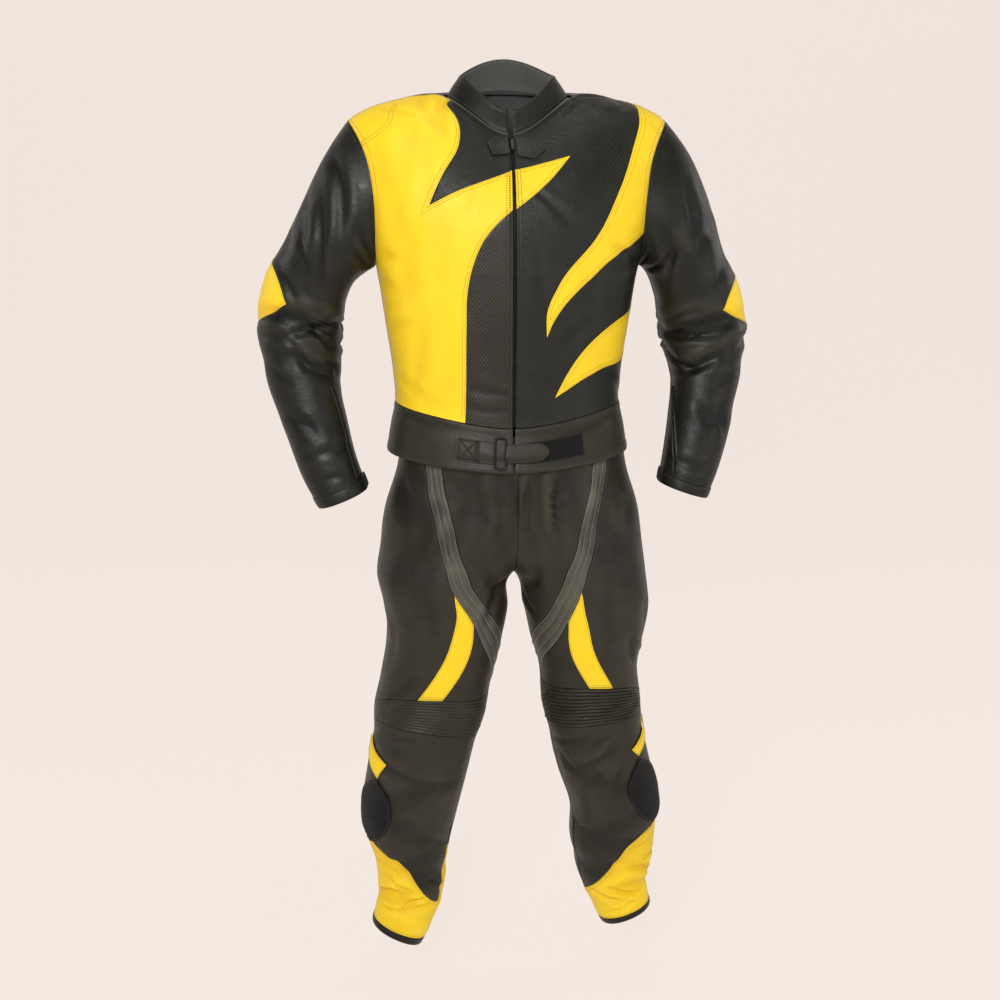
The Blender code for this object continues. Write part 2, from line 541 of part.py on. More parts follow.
def on_front(along):
    """The place, the way out and the way up of the front's middle line."""
    place, above = body(0.0, along - 0.002), body(0.0, along + 0.002)
    up = (above - place) / np.linalg.norm(above - place)
    out = np.cross(np.array([1.0, 0.0, 0.0]), up)
    return body(0.0, along), out, up


def plate(name, kind, middle, out, up, width, height, depth, edge, origin=None):
    """A small plate with rounded edges, lying in the frame that out and up give."""
    bm = bmesh.new()
    bmesh.ops.create_cube(bm, size=1.0)
    for vert in bm.verts:
        x, y, z = vert.co.x * width, vert.co.y * depth, vert.co.z * height
        vert.co = middle + np.array([x, 0, 0]) + out * y + up * z
    bmesh.ops.recalc_face_normals(bm, faces=bm.faces[:])
    bmesh.ops.bevel(bm, geom=bm.edges[:], offset=edge, segments=1, profile=0.5, affect="EDGES", material=-1)
    if origin is not None:
        bmesh.ops.translate(bm, verts=bm.verts[:], vec=-origin)
    obj = add_object(name, bm, kind)
    if origin is not None:
        obj.location = origin
    return obj


def make_slider():
    """The slider, and the pull that swings about the X axis through its hinge."""
    place, out, up = on_front(SLIDER_ALONG)
    plate("zip_slider", "metal", place + out * (SLIDER["depth"] / 2 + ABOVE_ZIP), out, up, **SLIDER)
    hinge = place + out * (SLIDER["depth"] + ABOVE_ZIP + PULL["depth"] / 2 + SEAM_GAP) + up * HINGE_UP
    plate("zip_pull", "metal", hinge - up * PULL["height"] / 2, out, up, origin=hinge, **PULL)


# ---------------------------------------------------------------- waistband and belt
BAND_LOW, BAND_HIGH = -0.080, -0.0008
BELT_MIDDLE = -0.044
BELT = dict(
    name=     ["belt_patch", "belt_hook_strip", "belt_tongue"],
    kind=     ["black",      "hook",            "black"],
    start=    [-36,          9,                 -5.8],
    end=      [-13.2,        44,                22.5],
    half=     [0.020,        0.019,             0.017],
    thickness=[0.003,        0.0015,            0.003],
    base=     [0.0037,       0.0022,            0.0059],
    rows=     [3,            2,                 3],
    columns=  [5,            7,                 8],
    rounded=  [False,        False,             True],
)
BUCKLE = dict(angle=-9.5, width=0.019, height=0.050, bar=0.0028, corner=0.003, gap=0.0002)


def make_waistband():
    ring_strip("jacket_waistband", "black", body, BAND_LOW, BAND_HIGH, 2, GIRTH["body"], 0.8, 359.2, 32)


def strap(name, kind, start, end, half, thickness, base, rows, columns, rounded):
    """A strap lying round the waistband from one angle to another, the second end square or rounded."""
    t = np.linspace(0, 1, columns + 1)
    half_width = half * (np.sqrt(np.clip(1 - t ** 4, 0.08, 1)) if rounded else np.ones(len(t)))
    angles = start + (end - start) * t
    first = np.stack([angles, BELT_MIDDLE - half_width], -1)
    second = np.stack([angles, BELT_MIDDLE + half_width], -1)
    strip_panel(name, kind, body, first, second, rows, GIRTH["body"], thickness=thickness, base=base)


def make_buckle():
    """The ring that the belt's tongue is fastened to, a round bar bent to a rectangle."""
    place = (np.array(BUCKLE["angle"]), np.array(BELT_MIDDLE))
    out = normal(body, *place)
    middle = body(*place) + out * (BUCKLE["bar"] / 2 + BUCKLE["gap"])
    up = body(BUCKLE["angle"], BELT_MIDDLE + 0.001) - body(*place)
    up = up / np.linalg.norm(up)
    side = np.cross(up, out)
    path = []
    for sx, sy in ((1, 1), (-1, 1), (-1, -1), (1, -1)):
        for first in (True, False):
            trim_x = BUCKLE["corner"] if first == (sx == sy) else 0
            trim_y = BUCKLE["corner"] - trim_x
            path.append(middle + side * sx * (BUCKLE["width"] / 2 - trim_x)
                        + up * sy * (BUCKLE["height"] / 2 - trim_y))
    curve = bpy.data.curves.new("buckle_path", "CURVE")
    curve.dimensions = "3D"
    curve.bevel_depth = BUCKLE["bar"] / 2
    curve.bevel_resolution = 1
    spline = curve.splines.new("POLY")
    spline.points.add(len(path) - 1)
    for point, co in zip(spline.points, path):
        point.co = (*co, 1)
    spline.use_cyclic_u = True
    curve.materials.append(material(*MATERIALS["metal"]))
    PARTS.objects.link(bpy.data.objects.new("belt_ring", curve))


def make_belt():
    for row in zip(*BELT.values()):
        strap(*row)
    make_buckle()


# ---------------------------------------------------------------- sleeves
ELBOW_SEAM = 0.225
ELBOW_ABOVE = [(22, 0.225), (36, 0.209), (52, 0.198), (90, 0.190), (130, 0.200), (158, 0.228)]
ELBOW_BELOW = [(22, 0.225), (36, 0.240), (52, 0.252), (90, 0.270), (125, 0.262), (158, 0.228)]
CUFF_TOP, CUFF_END = 0.540, 0.560


def make_sleeve(side):
    form = sleeve(side)
    girth = GIRTH["sleeve"]
    above = smooth(*ELBOW_ABOVE, girth=girth)
    below = smooth(*ELBOW_BELOW, girth=girth)
    inner_front = smooth((-90, ELBOW_SEAM), (22, 0.225), girth=girth)
    inner_back = smooth((158, 0.228), (270, ELBOW_SEAM), girth=girth)
    top = np.stack([np.linspace(270, -90, 25), np.zeros(25)], -1)
    cut_panel("sleeve_upper_" + side, "black", form, joined(
        inner_front, above, inner_back, smooth((270, ELBOW_SEAM), (270, 0.0), spacing=0.028), top,
        smooth((-90, 0.0), (-90, ELBOW_SEAM), spacing=0.028)), girth)
    cut_panel("sleeve_elbow_" + side, "yellow", form, joined(above, below[::-1]), girth)
    cuff = np.stack([np.linspace(270, -90, 15), np.full(15, CUFF_TOP)], -1)
    cut_panel("sleeve_forearm_" + side, "black", form, joined(
        inner_front, below, inner_back, smooth((270, ELBOW_SEAM), (270, CUFF_TOP), spacing=0.028), cuff,
        smooth((-90, CUFF_TOP), (-90, ELBOW_SEAM), spacing=0.028)), girth)
    ring_strip("cuff_band_" + side, "black", form, CUFF_TOP, CUFF_END, 1, girth, -75, 285, 20,
               thickness=0.003, base=0.0008)
    ring_strip("cuff_tab_" + side, "hook", form, 0.533, 0.556, 1, girth, -88, -62, 3,
               thickness=0.002, base=0.003 + LAYER_GAP)


# ---------------------------------------------------------------- trousers
KNEE_SEAM = 0.500
OUTSEAM = 92
CALF_SEAM = 0.700
HEM_TOP, HEM_END = 0.873, 0.885
STRIP_SPACING = 0.034
ACCORDION_RIBS = 11
INSEAM_ROWS = [(-90, 0.243), (-85, 0.350), (-80, 0.440), (-78, KNEE_SEAM), (-76, 0.600), (-74, 0.712)]
STRIP_TO_FLASH = [(66, 0.0), (60, 0.050), (55.5, 0.083), (49.5, 0.112), (38.5, 0.150), (20.8, 0.196),
                  (4, 0.2285), (-7.5, 0.257)]
STRIP_BY_FLASH = [(-7.5, 0.257), (-15.3, 0.284), (-23, 0.309)]
STRIP_TO_INSEAM = [(-23, 0.309), (-36, 0.348), (-58, 0.388), (-80.8, 0.425)]
STRIP_INNER = [(56, 0.0), (49.6, 0.052), (45.8, 0.080), (37.5, 0.113), (25, 0.152), (6.8, 0.1935),
               (-14, 0.229), (-29.4, 0.264), (-42, 0.298), (-60, 0.328), (-84.3, 0.362)]
THIGH_OUTER = [(-7.5, 0.257), (-7.2, 0.285), (-4, 0.325), (1, 0.367), (9, 0.405), (20, 0.441)]
THIGH_INNER = [(-23, 0.309), (-24, 0.348), (-20, 0.389), (-14, 0.415), (-6.5, 0.438)]
KNEE_TOP = [(-80, 0.440), (-54, 0.441), (-30, 0.439), (-6.5, 0.438), (20, 0.441), (44, 0.447),
            (68, 0.458), (OUTSEAM, 0.476)]
KNEE_BOTTOM = [(-78, KNEE_SEAM), (-54, 0.503), (-30, 0.501), (-6.5, 0.498), (20, 0.496), (44, 0.495),
               (68, 0.496), (OUTSEAM, KNEE_SEAM)]
GAITER_TOP = {
    "right": [(-74, 0.712), (-66, 0.735), (-60, 0.775), (-54, 0.808), (-38, 0.806), (-22, 0.796),
              (0, 0.772), (15, 0.748), (40, 0.730), (58, 0.714), (78, 0.690), (OUTSEAM, 0.668)],
    "left": [(-74, 0.812), (-60, 0.806), (-41, 0.795), (-22, 0.779), (0, 0.752), (15, 0.728),
             (40, 0.710), (58, 0.696), (78, 0.680), (OUTSEAM, 0.668)],
}
PATCH_SHIFT = {"right": (0, 0.0), "left": (-9, -0.026)}
HOOK_PATCH = [(51, 0.594), (33, 0.622), (26, 0.655), (35, 0.690), (58, 0.712), (80, 0.700), (90, 0.660),
              (82, 0.625), (66, 0.604), (51, 0.594)]
KNEE_BIT = {
    "right": [(43, 0.562), (66, 0.548), (OUTSEAM - 3, 0.528), (OUTSEAM - 3, 0.556), (70, 0.576), (51, 0.590)],
    "left": [(34, 0.548), (57, 0.532), (OUTSEAM - 3, 0.510), (OUTSEAM - 3, 0.530), (61, 0.549), (42, 0.562)],
}


def rise(side, back=False):
    """The line where one leg meets the other at the middle of the body, from the waist to the crotch."""
    fine = np.linspace(0, 0.26, 2001)
    r = between_rows(LEG[side], fine)
    crotch = fine[np.argmax(r["x"] >= r["half_width"])]
    along = np.concatenate([np.linspace(0, 0.17, 7)[:-1], np.linspace(0.17, crotch, 9)])
    r = between_rows(LEG[side], along)
    depth = r["half_back"] if back else r["half_front"]
    share = np.clip(r["x"] / r["half_width"], 0, 1)
    y = depth * (1 - share ** LEG_SQUARENESS) ** (1 / LEG_SQUARENESS)
    angle = -np.degrees(np.arctan2(r["x"], y))
    if back:
        angle = 180 - angle
    return np.stack([angle, along], -1)


def cut_line(line, from_angle, to_angle):
    """The stretch of a line of points between two angles."""
    low, high = sorted((from_angle, to_angle))
    inside = (line[:, 0] > low + 0.5) & (line[:, 0] < high - 0.5)
    return line[inside]


def smooth_leg(rows, spacing=0.02):
    return smooth(*rows, spacing=spacing, girth=GIRTH["leg"])


def inseam(low, high):
    """The seam down the inside of the leg between two distances along it."""
    rows = np.array(INSEAM_ROWS)
    along = np.linspace(low, high, max(2, int(round(abs(high - low) / 0.028)) + 1))
    return np.stack([np.interp(along, rows[:, 1], rows[:, 0]), along], -1)


def make_leg(side):
    form = leg(side)
    girth = GIRTH["leg"]
    to_flash, by_flash, to_inseam = [
        smooth_leg(rows, STRIP_SPACING) for rows in (STRIP_TO_FLASH, STRIP_BY_FLASH, STRIP_TO_INSEAM)]
    outer_edge = joined(to_flash, by_flash, to_inseam)
    inner_edge = smooth_leg(STRIP_INNER, STRIP_SPACING / 30)
    inner_edge = inner_edge[np.linspace(0, len(inner_edge) - 1, len(outer_edge)).round().astype(int)]
    front_rise, back_rise = rise(side), rise(side, back=True)
    crotch = front_rise[-1]
    knee_top, knee_bottom = np.array(KNEE_TOP), np.array(KNEE_BOTTOM)
    gaiter_top = smooth_leg(GAITER_TOP[side])
    gaiter_start = GAITER_TOP[side][0][1]
    thigh_outer, thigh_inner = smooth_leg(THIGH_OUTER), smooth_leg(THIGH_INNER)
    cut_panel("leg_pelvis_" + side, "brown", form, joined(
        front_rise, inseam(crotch[1], 0.362), inner_edge[::-1],
        [(56, 0.0), (28, 0.0), (front_rise[0][0], 0.0)]), girth)
    strip_panel("leg_stretch_" + side, "grey", form, inner_edge, outer_edge, 6, girth,
                relief=ribs(3, 0.0016), gap=STRETCH_GAP)
    cut_panel("leg_thigh_" + side, "brown", form, joined(
        to_flash, thigh_outer, cut_line(knee_top, 20, OUTSEAM),
        [(OUTSEAM, 0.476), (OUTSEAM, 0.36), (OUTSEAM, 0.24), (OUTSEAM, 0.12), (OUTSEAM, 0.0), (80, 0.0)]),
        girth)
    cut_panel("leg_flash_" + side, "yellow", form, joined(
        thigh_outer, [(20, 0.441), (-6.5, 0.438)], thigh_inner[::-1], by_flash[::-1]), girth)
    cut_panel("leg_inner_" + side, "brown", form, joined(
        thigh_inner, cut_line(knee_top, -80, -6.5)[::-1], inseam(0.440, 0.425),
        to_inseam[::-1]), girth)
    strip_panel("knee_accordion_" + side, "brown", form, knee_top, knee_bottom,
                2 * ACCORDION_RIBS, girth, relief=ribs(ACCORDION_RIBS, 0.0022), gap=STRIP_GAP)
    cut_panel("leg_shin_" + side, "brown", form, joined(
        knee_bottom, [(OUTSEAM, 0.55), (OUTSEAM, 0.61)], gaiter_top[::-1],
        inseam(gaiter_start, KNEE_SEAM)), girth)
    cut_panel("knee_hook_patch_" + side, "hook", form, smooth_leg(HOOK_PATCH)[:-1] + PATCH_SHIFT[side], girth,
              thickness=0.002, base=0.002 + PATCH_GAP)
    cut_panel("knee_yellow_" + side, "yellow", form, np.array(KNEE_BIT[side]), girth,
              thickness=0.0014, base=0.0014 + PATCH_GAP)
    inseam_back = inseam(crotch[1], KNEE_SEAM) + [360, 0]
    cut_panel("leg_back_" + side, "brown", form, joined(
        [(OUTSEAM, 0.0), (OUTSEAM, 0.12), (OUTSEAM, 0.24), (OUTSEAM, 0.36), (OUTSEAM, KNEE_SEAM)],
        [(OUTSEAM, KNEE_SEAM), (135, KNEE_SEAM), (180, KNEE_SEAM), (230, KNEE_SEAM), (282, KNEE_SEAM)],
        inseam_back[::-1], back_rise[::-1], [(back_rise[0][0], 0.0), (135, 0.0)]), girth)
    calf_bottom = smooth_leg([
        (OUTSEAM, 0.668), (135, CALF_SEAM), (180, 0.712), (235, (0.712 + gaiter_start) / 2), (286, gaiter_start)])
    cut_panel("leg_calf_" + side, "brown", form, joined(
        [(OUTSEAM, KNEE_SEAM), (OUTSEAM, 0.58), (OUTSEAM, 0.668)], calf_bottom,
        (inseam(KNEE_SEAM, gaiter_start) + [360, 0])[::-1],
        [(282, KNEE_SEAM), (230, KNEE_SEAM), (180, KNEE_SEAM), (135, KNEE_SEAM)]), girth)
    hem_line = np.stack([np.linspace(286, -74, 17), np.full(17, HEM_TOP)], -1)
    low, high = gaiter_start + (HEM_TOP - gaiter_start) / 3, HEM_TOP - (HEM_TOP - gaiter_start) / 3
    cut_panel("leg_gaiter_" + side, "yellow", form, joined(
        gaiter_top, calf_bottom, [(286, low), (286, high)], hem_line, [(-74, high), (-74, low)]),
        girth, step=(0.036, 0.027))
    ring_strip("leg_hem_" + side, "black", form, HEM_TOP, HEM_END, 1, girth, -74, 286, 20,
               thickness=0.0026, base=0.0003)


def make_fly():
    """The fly's top strip, sewn over the seam between the legs on the wearer's left."""
    form = leg("left")
    along = np.linspace(0.050, 0.150, 5)
    line = rise("left")
    edge = np.interp(along, line[:, 1], line[:, 0])
    first = np.stack([edge + 1.0, along], -1)
    second = np.stack([edge + 8.0, along], -1)
    strip_panel("fly", "brown", form, first, second, 1, GIRTH["leg"], thickness=0.0014,
                base=0.0014 + LAYER_GAP)


make_fronts()
make_back()
make_collar()
make_zip()
make_slider()
make_waistband()
make_belt()
for side in SIGN:
    make_sleeve(side)
    make_leg(side)
make_fly()
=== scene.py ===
# %% [markdown]
# # A leather motorcycle race suit, worn shape
# The suit is a jacket over trousers, cut from about fifty flat leather pieces that are sewn edge
# to edge. Each piece here is made the way a cutter makes it: an outline drawn flat, a thickness,
# and then the bend that the body gives it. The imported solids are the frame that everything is
# fitted to, so the first step loads them and keeps their box.

# %% Load the frame
import math

import bmesh
import bpy
import numpy as np
from mathutils import Matrix, Vector


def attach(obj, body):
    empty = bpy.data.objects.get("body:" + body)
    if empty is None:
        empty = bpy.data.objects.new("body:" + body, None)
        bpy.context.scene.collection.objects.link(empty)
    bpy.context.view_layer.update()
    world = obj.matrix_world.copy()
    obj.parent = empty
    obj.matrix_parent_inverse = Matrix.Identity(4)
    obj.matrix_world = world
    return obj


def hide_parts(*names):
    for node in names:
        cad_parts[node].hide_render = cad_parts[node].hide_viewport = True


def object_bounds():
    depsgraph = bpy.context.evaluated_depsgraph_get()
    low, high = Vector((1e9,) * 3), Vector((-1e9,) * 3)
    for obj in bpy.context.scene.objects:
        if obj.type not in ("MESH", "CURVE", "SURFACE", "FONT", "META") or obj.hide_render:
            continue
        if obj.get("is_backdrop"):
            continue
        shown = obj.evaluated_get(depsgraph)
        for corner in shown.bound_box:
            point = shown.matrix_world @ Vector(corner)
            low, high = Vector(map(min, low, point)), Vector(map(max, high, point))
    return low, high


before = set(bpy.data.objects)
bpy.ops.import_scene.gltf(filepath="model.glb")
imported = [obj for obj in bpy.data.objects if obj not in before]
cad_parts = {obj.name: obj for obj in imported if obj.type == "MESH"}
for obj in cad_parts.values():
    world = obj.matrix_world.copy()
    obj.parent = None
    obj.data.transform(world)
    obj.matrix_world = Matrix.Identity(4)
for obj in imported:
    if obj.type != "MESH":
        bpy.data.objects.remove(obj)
CAD_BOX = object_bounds()
print("frame holds", len(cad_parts), "nodes")

# %% [markdown]
# ## Camera, floor and light
# The camera stands level with the collar, almost three metres away, a little to the wearer's right,
# and looks down at the suit. A long lens keeps the legs from looking short. The floor sweeps up
# into the wall behind, as a photographer's paper roll does, so no edge shows. Large area lamps
# give leather its broad soft highlights; small ones would turn it into plastic.

# %% Camera
def add_object(name, data):
    """A new object in the scene, made from its data."""
    made = bpy.data.objects.new(name, data)
    bpy.context.scene.collection.objects.link(made)
    return made


DISTANCE, PITCH, AZIMUTH, LENS = 2.90, 13.0, -5.0, 65.7
camera_data = bpy.data.cameras.new("camera")
camera_data.lens = LENS
camera_data.shift_x = -0.007
camera_data.shift_y = 0.024
camera = add_object("camera", camera_data)
turn = math.radians(AZIMUTH)
camera.location = (DISTANCE * math.sin(turn), -DISTANCE * math.cos(turn), 0)
camera.rotation_euler = (math.radians(90 - PITCH), 0, turn)
bpy.context.scene.camera = camera
print("camera at", [round(c, 3) for c in camera.location])


# %% Colour and node helpers
def linear(hex_colour):
    """An sRGB hex colour as the linear RGBA that shaders want."""
    rgb = [int(hex_colour[k:k + 2], 16) / 255 for k in (0, 2, 4)]
    return (*[c / 12.92 if c <= 0.04045 else ((c + 0.055) / 1.055) ** 2.4 for c in rgb], 1)


def node(tree, kind, inputs=None, **settings):
    """Add a shader node; inputs are values or the sockets that feed them."""
    made = tree.nodes.new(kind)
    for name, value in settings.items():
        setattr(made, name, value)
    for name, value in (inputs or {}).items():
        if isinstance(value, bpy.types.NodeSocket):
            tree.links.new(value, made.inputs[name])
        else:
            made.inputs[name].default_value = value
    return made


def start_material(name, **sockets):
    """A material with its Principled shader, whose plain values are set on its own sockets."""
    made = bpy.data.materials.new(name)
    made.use_nodes = True
    shader = made.node_tree.nodes["Principled BSDF"]
    for socket, value in sockets.items():
        shader.inputs[socket.replace("_", " ")].default_value = value
    return made, made.node_tree, shader


print("white is", linear("ffffff")[:3])

# %% Floor, backdrop and lamps
def round_edges(bm, edges, size, segments, **settings):
    """Bevel edges; the new faces keep their neighbours' material."""
    bmesh.ops.bevel(bm, geom=edges, offset=size, segments=segments, profile=0.5, affect="EDGES",
                    material=-1, **settings)


FLOOR = -1.50
paper, _, paper_shader = start_material("warm_white_paper_roll", Roughness=0.9, Emission_Strength=0.93)
paper_shader.inputs["Base Color"].default_value = linear("4e4945")
paper_shader.inputs["Emission Color"].default_value = linear("f1e6de")
bm = bmesh.new()
bmesh.ops.create_grid(bm, x_segments=1, y_segments=1, size=9.0)
bmesh.ops.translate(bm, verts=bm.verts[:], vec=(0, -4.0, FLOOR))
far_edge = [e for e in bm.edges if all(v.co.y > 4.9 for v in e.verts)]
wall = bmesh.ops.extrude_edge_only(bm, edges=far_edge)["geom"]
bmesh.ops.translate(bm, verts=[g for g in wall if isinstance(g, bmesh.types.BMVert)], vec=(0, 0, 8))
round_edges(bm, far_edge, 2.5, 24)
mesh = bpy.data.meshes.new("paper_roll")
bm.to_mesh(mesh)
bm.free()
for polygon in mesh.polygons:
    polygon.use_smooth = True
mesh.materials.append(paper)
paper_roll = add_object("paper_roll", mesh)
paper_roll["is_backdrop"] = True

LAMP_TARGET = Vector((0, 0, -0.6))
LAMPS = dict(
    name= ["key", "fill", "top", "left_edge", "right_edge"],
    place=[(-0.7, -3.1, 0.7), (2.6, -2.6, -0.4), (0.1, -0.5, 2.2), (-2.6, 0.5, 0.3), (2.6, 0.6, 0.3)],
    size= [0.8, 1.8, 1.2, 1.2, 1.2],
    watts=[81, 21, 20, 14, 15],
)
for name, place, size, watts in zip(*LAMPS.values()):
    data = bpy.data.lights.new(name, "AREA")
    data.size = size
    data.energy = watts
    lamp = add_object(name, data)
    lamp.location = place
    lamp.rotation_euler = (LAMP_TARGET - Vector(place)).to_track_quat("-Z", "Y").to_euler()
world = bpy.data.worlds.new("studio")
world.use_nodes = True
world.node_tree.nodes["Background"].inputs["Color"].default_value = linear("f6efe9")
world.node_tree.nodes["Background"].inputs["Strength"].default_value = 0.25
bpy.context.scene.world = world
bpy.context.scene.view_settings.view_transform = "Standard"
print("lamps:", ", ".join(LAMPS["name"]))

# %% [markdown]
# ## The forms under the leather
# A tailor works over a form. Here it is a set of rings: the body from hem to neck, the collar, each
# sleeve and each leg. A point of a form is named by an angle round it and a distance along it, and
# those two numbers are also the flat coordinates that the panels are cut in. The rings are the same
# as the solids', so every panel lands where its solid is.

# %% Ring tables
BODY = dict(
    along=      [-.080, -.040, 0.000, 0.045, 0.125, 0.215, 0.295, 0.365, 0.425, 0.470, 0.522, 0.575, 0.600],
    half_width= [0.193, 0.187, 0.179, 0.181, 0.192, 0.206, 0.226, 0.243, 0.250, 0.218, 0.165, 0.115, 0.094],
    side_height=[-.541, -.501, -.462, -.420, -.340, -.250, -.172, -.100, -.034, -.010, 0.006, 0.014, 0.010],
    front_depth=[0.136, 0.131, 0.124, 0.126, 0.133, 0.137, 0.135, 0.122, 0.101, 0.090, 0.081, 0.074, 0.070],
    back_depth= [0.122, 0.112, 0.102, 0.100, 0.108, 0.122, 0.130, 0.130, 0.118, 0.108, 0.096, 0.084, 0.076],
    front_drop= [-.018, -.024, -.028, -.018, -.006, 0.000, -.003, -.020, -.046, -.056, -.062, -.064, -.056],
    back_drop=  [-.010, -.010, -.010, -.006, 0.000, 0.000, 0.000, 0.000, -.004, -.002, 0.002, 0.006, 0.008],
    squareness= [2.3,   2.3,   2.3,   2.3,   2.4,   2.5,   2.5,   2.4,   2.3,   2.2,   2.1,   2.0,   2.0],
)
COLLAR = dict(
    along=      [0.000, 0.025, 0.050],
    half_width= [0.093, 0.083, 0.072],
    side_height=[0.011, 0.027, 0.041],
    front_depth=[0.070, 0.064, 0.058],
    back_depth= [0.077, 0.074, 0.068],
    front_drop= [-.054, -.052, -.051],
    back_drop=  [0.009, 0.018, 0.026],
    squareness= [2.0,   2.0,   2.0],
)
# the columns that both sides share; along comes first, because the rows are looked up by it
SLEEVE_BOTH = dict(
    along=     [0.000, 0.050, 0.100, 0.150, 0.205, 0.265, 0.325, 0.385, 0.440, 0.505, 0.560],
    y=         [0.000, 0.000, 0.006, 0.016, 0.026, 0.030, 0.022, 0.010, 0.000, -.012, -.020],
    half_depth=[0.076, 0.076, 0.074, 0.070, 0.068, 0.066, 0.060, 0.055, 0.052, 0.046, 0.042],
)
SLEEVE = {
    "right": dict(
        SLEEVE_BOTH,
        x=         [0.229, 0.257, 0.281, 0.300, 0.319, 0.329, 0.327, 0.318, 0.305, 0.286, 0.265],
        z=         [-.142, -.177, -.214, -.254, -.298, -.357, -.408, -.459, -.503, -.567, -.615],
        tilt=      [80.0,  68.0,  58.0,  48.0,  35.0,  19.0,  8.0,   -9.0,  -17.0, -22.0, -22.0],
        half_width=[0.108, 0.088, 0.073, 0.068, 0.072, 0.070, 0.063, 0.054, 0.050, 0.046, 0.042],
    ),
    "left": dict(
        SLEEVE_BOTH,
        x=         [0.229, 0.254, 0.274, 0.293, 0.311, 0.322, 0.325, 0.320, 0.312, 0.298, 0.284],
        z=         [-.142, -.172, -.212, -.262, -.312, -.363, -.412, -.458, -.504, -.564, -.611],
        tilt=      [80.0,  67.0,  54.0,  39.0,  25.0,  13.0,  4.0,   -8.0,  -14.0, -19.0, -19.0],
        half_width=[0.108, 0.091, 0.077, 0.068, 0.071, 0.070, 0.060, 0.053, 0.051, 0.047, 0.042],
    ),
}
LEG_BOTH = dict(
    along=     [0.000, 0.065, 0.135, 0.195, 0.245, 0.300, 0.360, 0.425,
                0.470, 0.530, 0.590, 0.655, 0.715, 0.775, 0.830, 0.885],
    half_front=[0.120, 0.118, 0.116, 0.112, 0.107, 0.102, 0.095, 0.088,
                0.086, 0.082, 0.080, 0.074, 0.068, 0.058, 0.050, 0.046],
    half_back= [0.104, 0.111, 0.122, 0.122, 0.116, 0.106, 0.096, 0.086,
                0.078, 0.072, 0.078, 0.084, 0.080, 0.066, 0.056, 0.050],
)
LEG = {
    "right": dict(
        LEG_BOTH,
        x=         [0.000, 0.009, 0.038, 0.078, 0.112, 0.109, 0.113, 0.127,
                    0.136, 0.148, 0.160, 0.172, 0.176, 0.170, 0.177, 0.196],
        y=         [0.000, 0.000, 0.004, 0.004, 0.002, 0.000, 0.000, -.002,
                    -.004, -.004, 0.002, 0.014, 0.024, 0.030, 0.032, 0.034],
        z=         [-.505, -.570, -.640, -.700, -.748, -.803, -.861, -.926,
                    -.970, -1.030, -1.090, -1.157, -1.218, -1.277, -1.335, -1.393],
        tilt=      [0.0, 0.0, 0.0, 0.0, 1.0, 2.0, 3.0, 5.0,
                    6.0, 6.0, 7.0, 8.0, 9.0, 12.0, 18.0, 26.0],
        half_width=[0.1764, 0.176, 0.168, 0.136, 0.108, 0.101, 0.093, 0.090,
                    0.091, 0.084, 0.082, 0.079, 0.071, 0.060, 0.053, 0.046],
    ),
    "left": dict(
        LEG_BOTH,
        x=         [0.000, 0.009, 0.038, 0.078, 0.112, 0.122, 0.124, 0.127,
                    0.131, 0.141, 0.156, 0.176, 0.177, 0.181, 0.188, 0.204],
        y=         [0.000, 0.000, 0.004, 0.004, 0.002, 0.000, 0.000, -.002,
                    -.004, -.002, 0.006, 0.020, 0.032, 0.040, 0.044, 0.048],
        z=         [-.505, -.570, -.640, -.700, -.748, -.802, -.858, -.912,
                    -.960, -1.024, -1.086, -1.157, -1.219, -1.277, -1.328, -1.377],
        tilt=      [0.0, 0.0, 0.0, 0.0, 0.0, 0.0, 0.0, 1.0,
                    2.0, 3.0, 4.0, 5.0, 6.0, 9.0, 14.0, 21.0],
        half_width=[0.1764, 0.176, 0.168, 0.136, 0.108, 0.103, 0.093, 0.081,
                    0.082, 0.078, 0.078, 0.075, 0.074, 0.066, 0.053, 0.045],
    ),
}
SIGN = {"right": -1, "left": 1}
SEAM_GAP = 0.0004
LEG_SQUARENESS = 2.2
PELVIS_X = 0.008
NECK_ALONG = 0.600
ARMHOLE = dict(half_angle=19.0, middle=0.325, half_height=0.108)
ARMHOLE_STANDS = 0.0007   # the seam's height over the body
SLEEVE_CAP = 0.110        # over this length the sleeve turns from the armhole into a tube
GIRTH = dict(body=1.10, sleeve=0.42, leg=0.60, collar=0.50)
print("rings:", len(BODY["along"]), "body,", len(SLEEVE_BOTH["along"]), "sleeve,", len(LEG_BOTH["along"]), "leg")


# %% Points on the forms
def eased(t):
    """From 0 to 1 along an S, and level beyond both ends."""
    t = np.clip(t, 0, 1)
    return t * t * (3 - 2 * t)


def curve_through(rows, keys, at):
    """Values on a smooth curve that passes through each row at its key."""
    slopes = np.gradient(rows, keys, axis=0)
    i = np.clip(np.searchsorted(keys, at) - 1, 0, len(keys) - 2)
    span = (keys[i + 1] - keys[i])[..., None]
    t = (at - keys[i])[..., None] / span
    return ((1 + 2 * t) * (1 - t) ** 2 * rows[i] + t * (1 - t) ** 2 * span * slopes[i]
            + t ** 2 * (3 - 2 * t) * rows[i + 1] + t ** 2 * (t - 1) * span * slopes[i + 1])


def between_rows(table, along):
    """Every column of a ring table at the given distances, which its first column holds."""
    rows = np.array(list(table.values()), float).T
    value = curve_through(rows, rows[:, 0], np.asarray(along, float))
    return dict(zip(table, np.moveaxis(value, -1, 0)))


def lengths(points):
    """The distance gone at each point of a line."""
    return np.concatenate([[0], np.cumsum(np.linalg.norm(np.diff(points, axis=0), axis=1))])


def spread(angle, along):
    """Both coordinates as arrays of one shape."""
    return np.broadcast_arrays(np.asarray(angle, float), np.asarray(along, float))


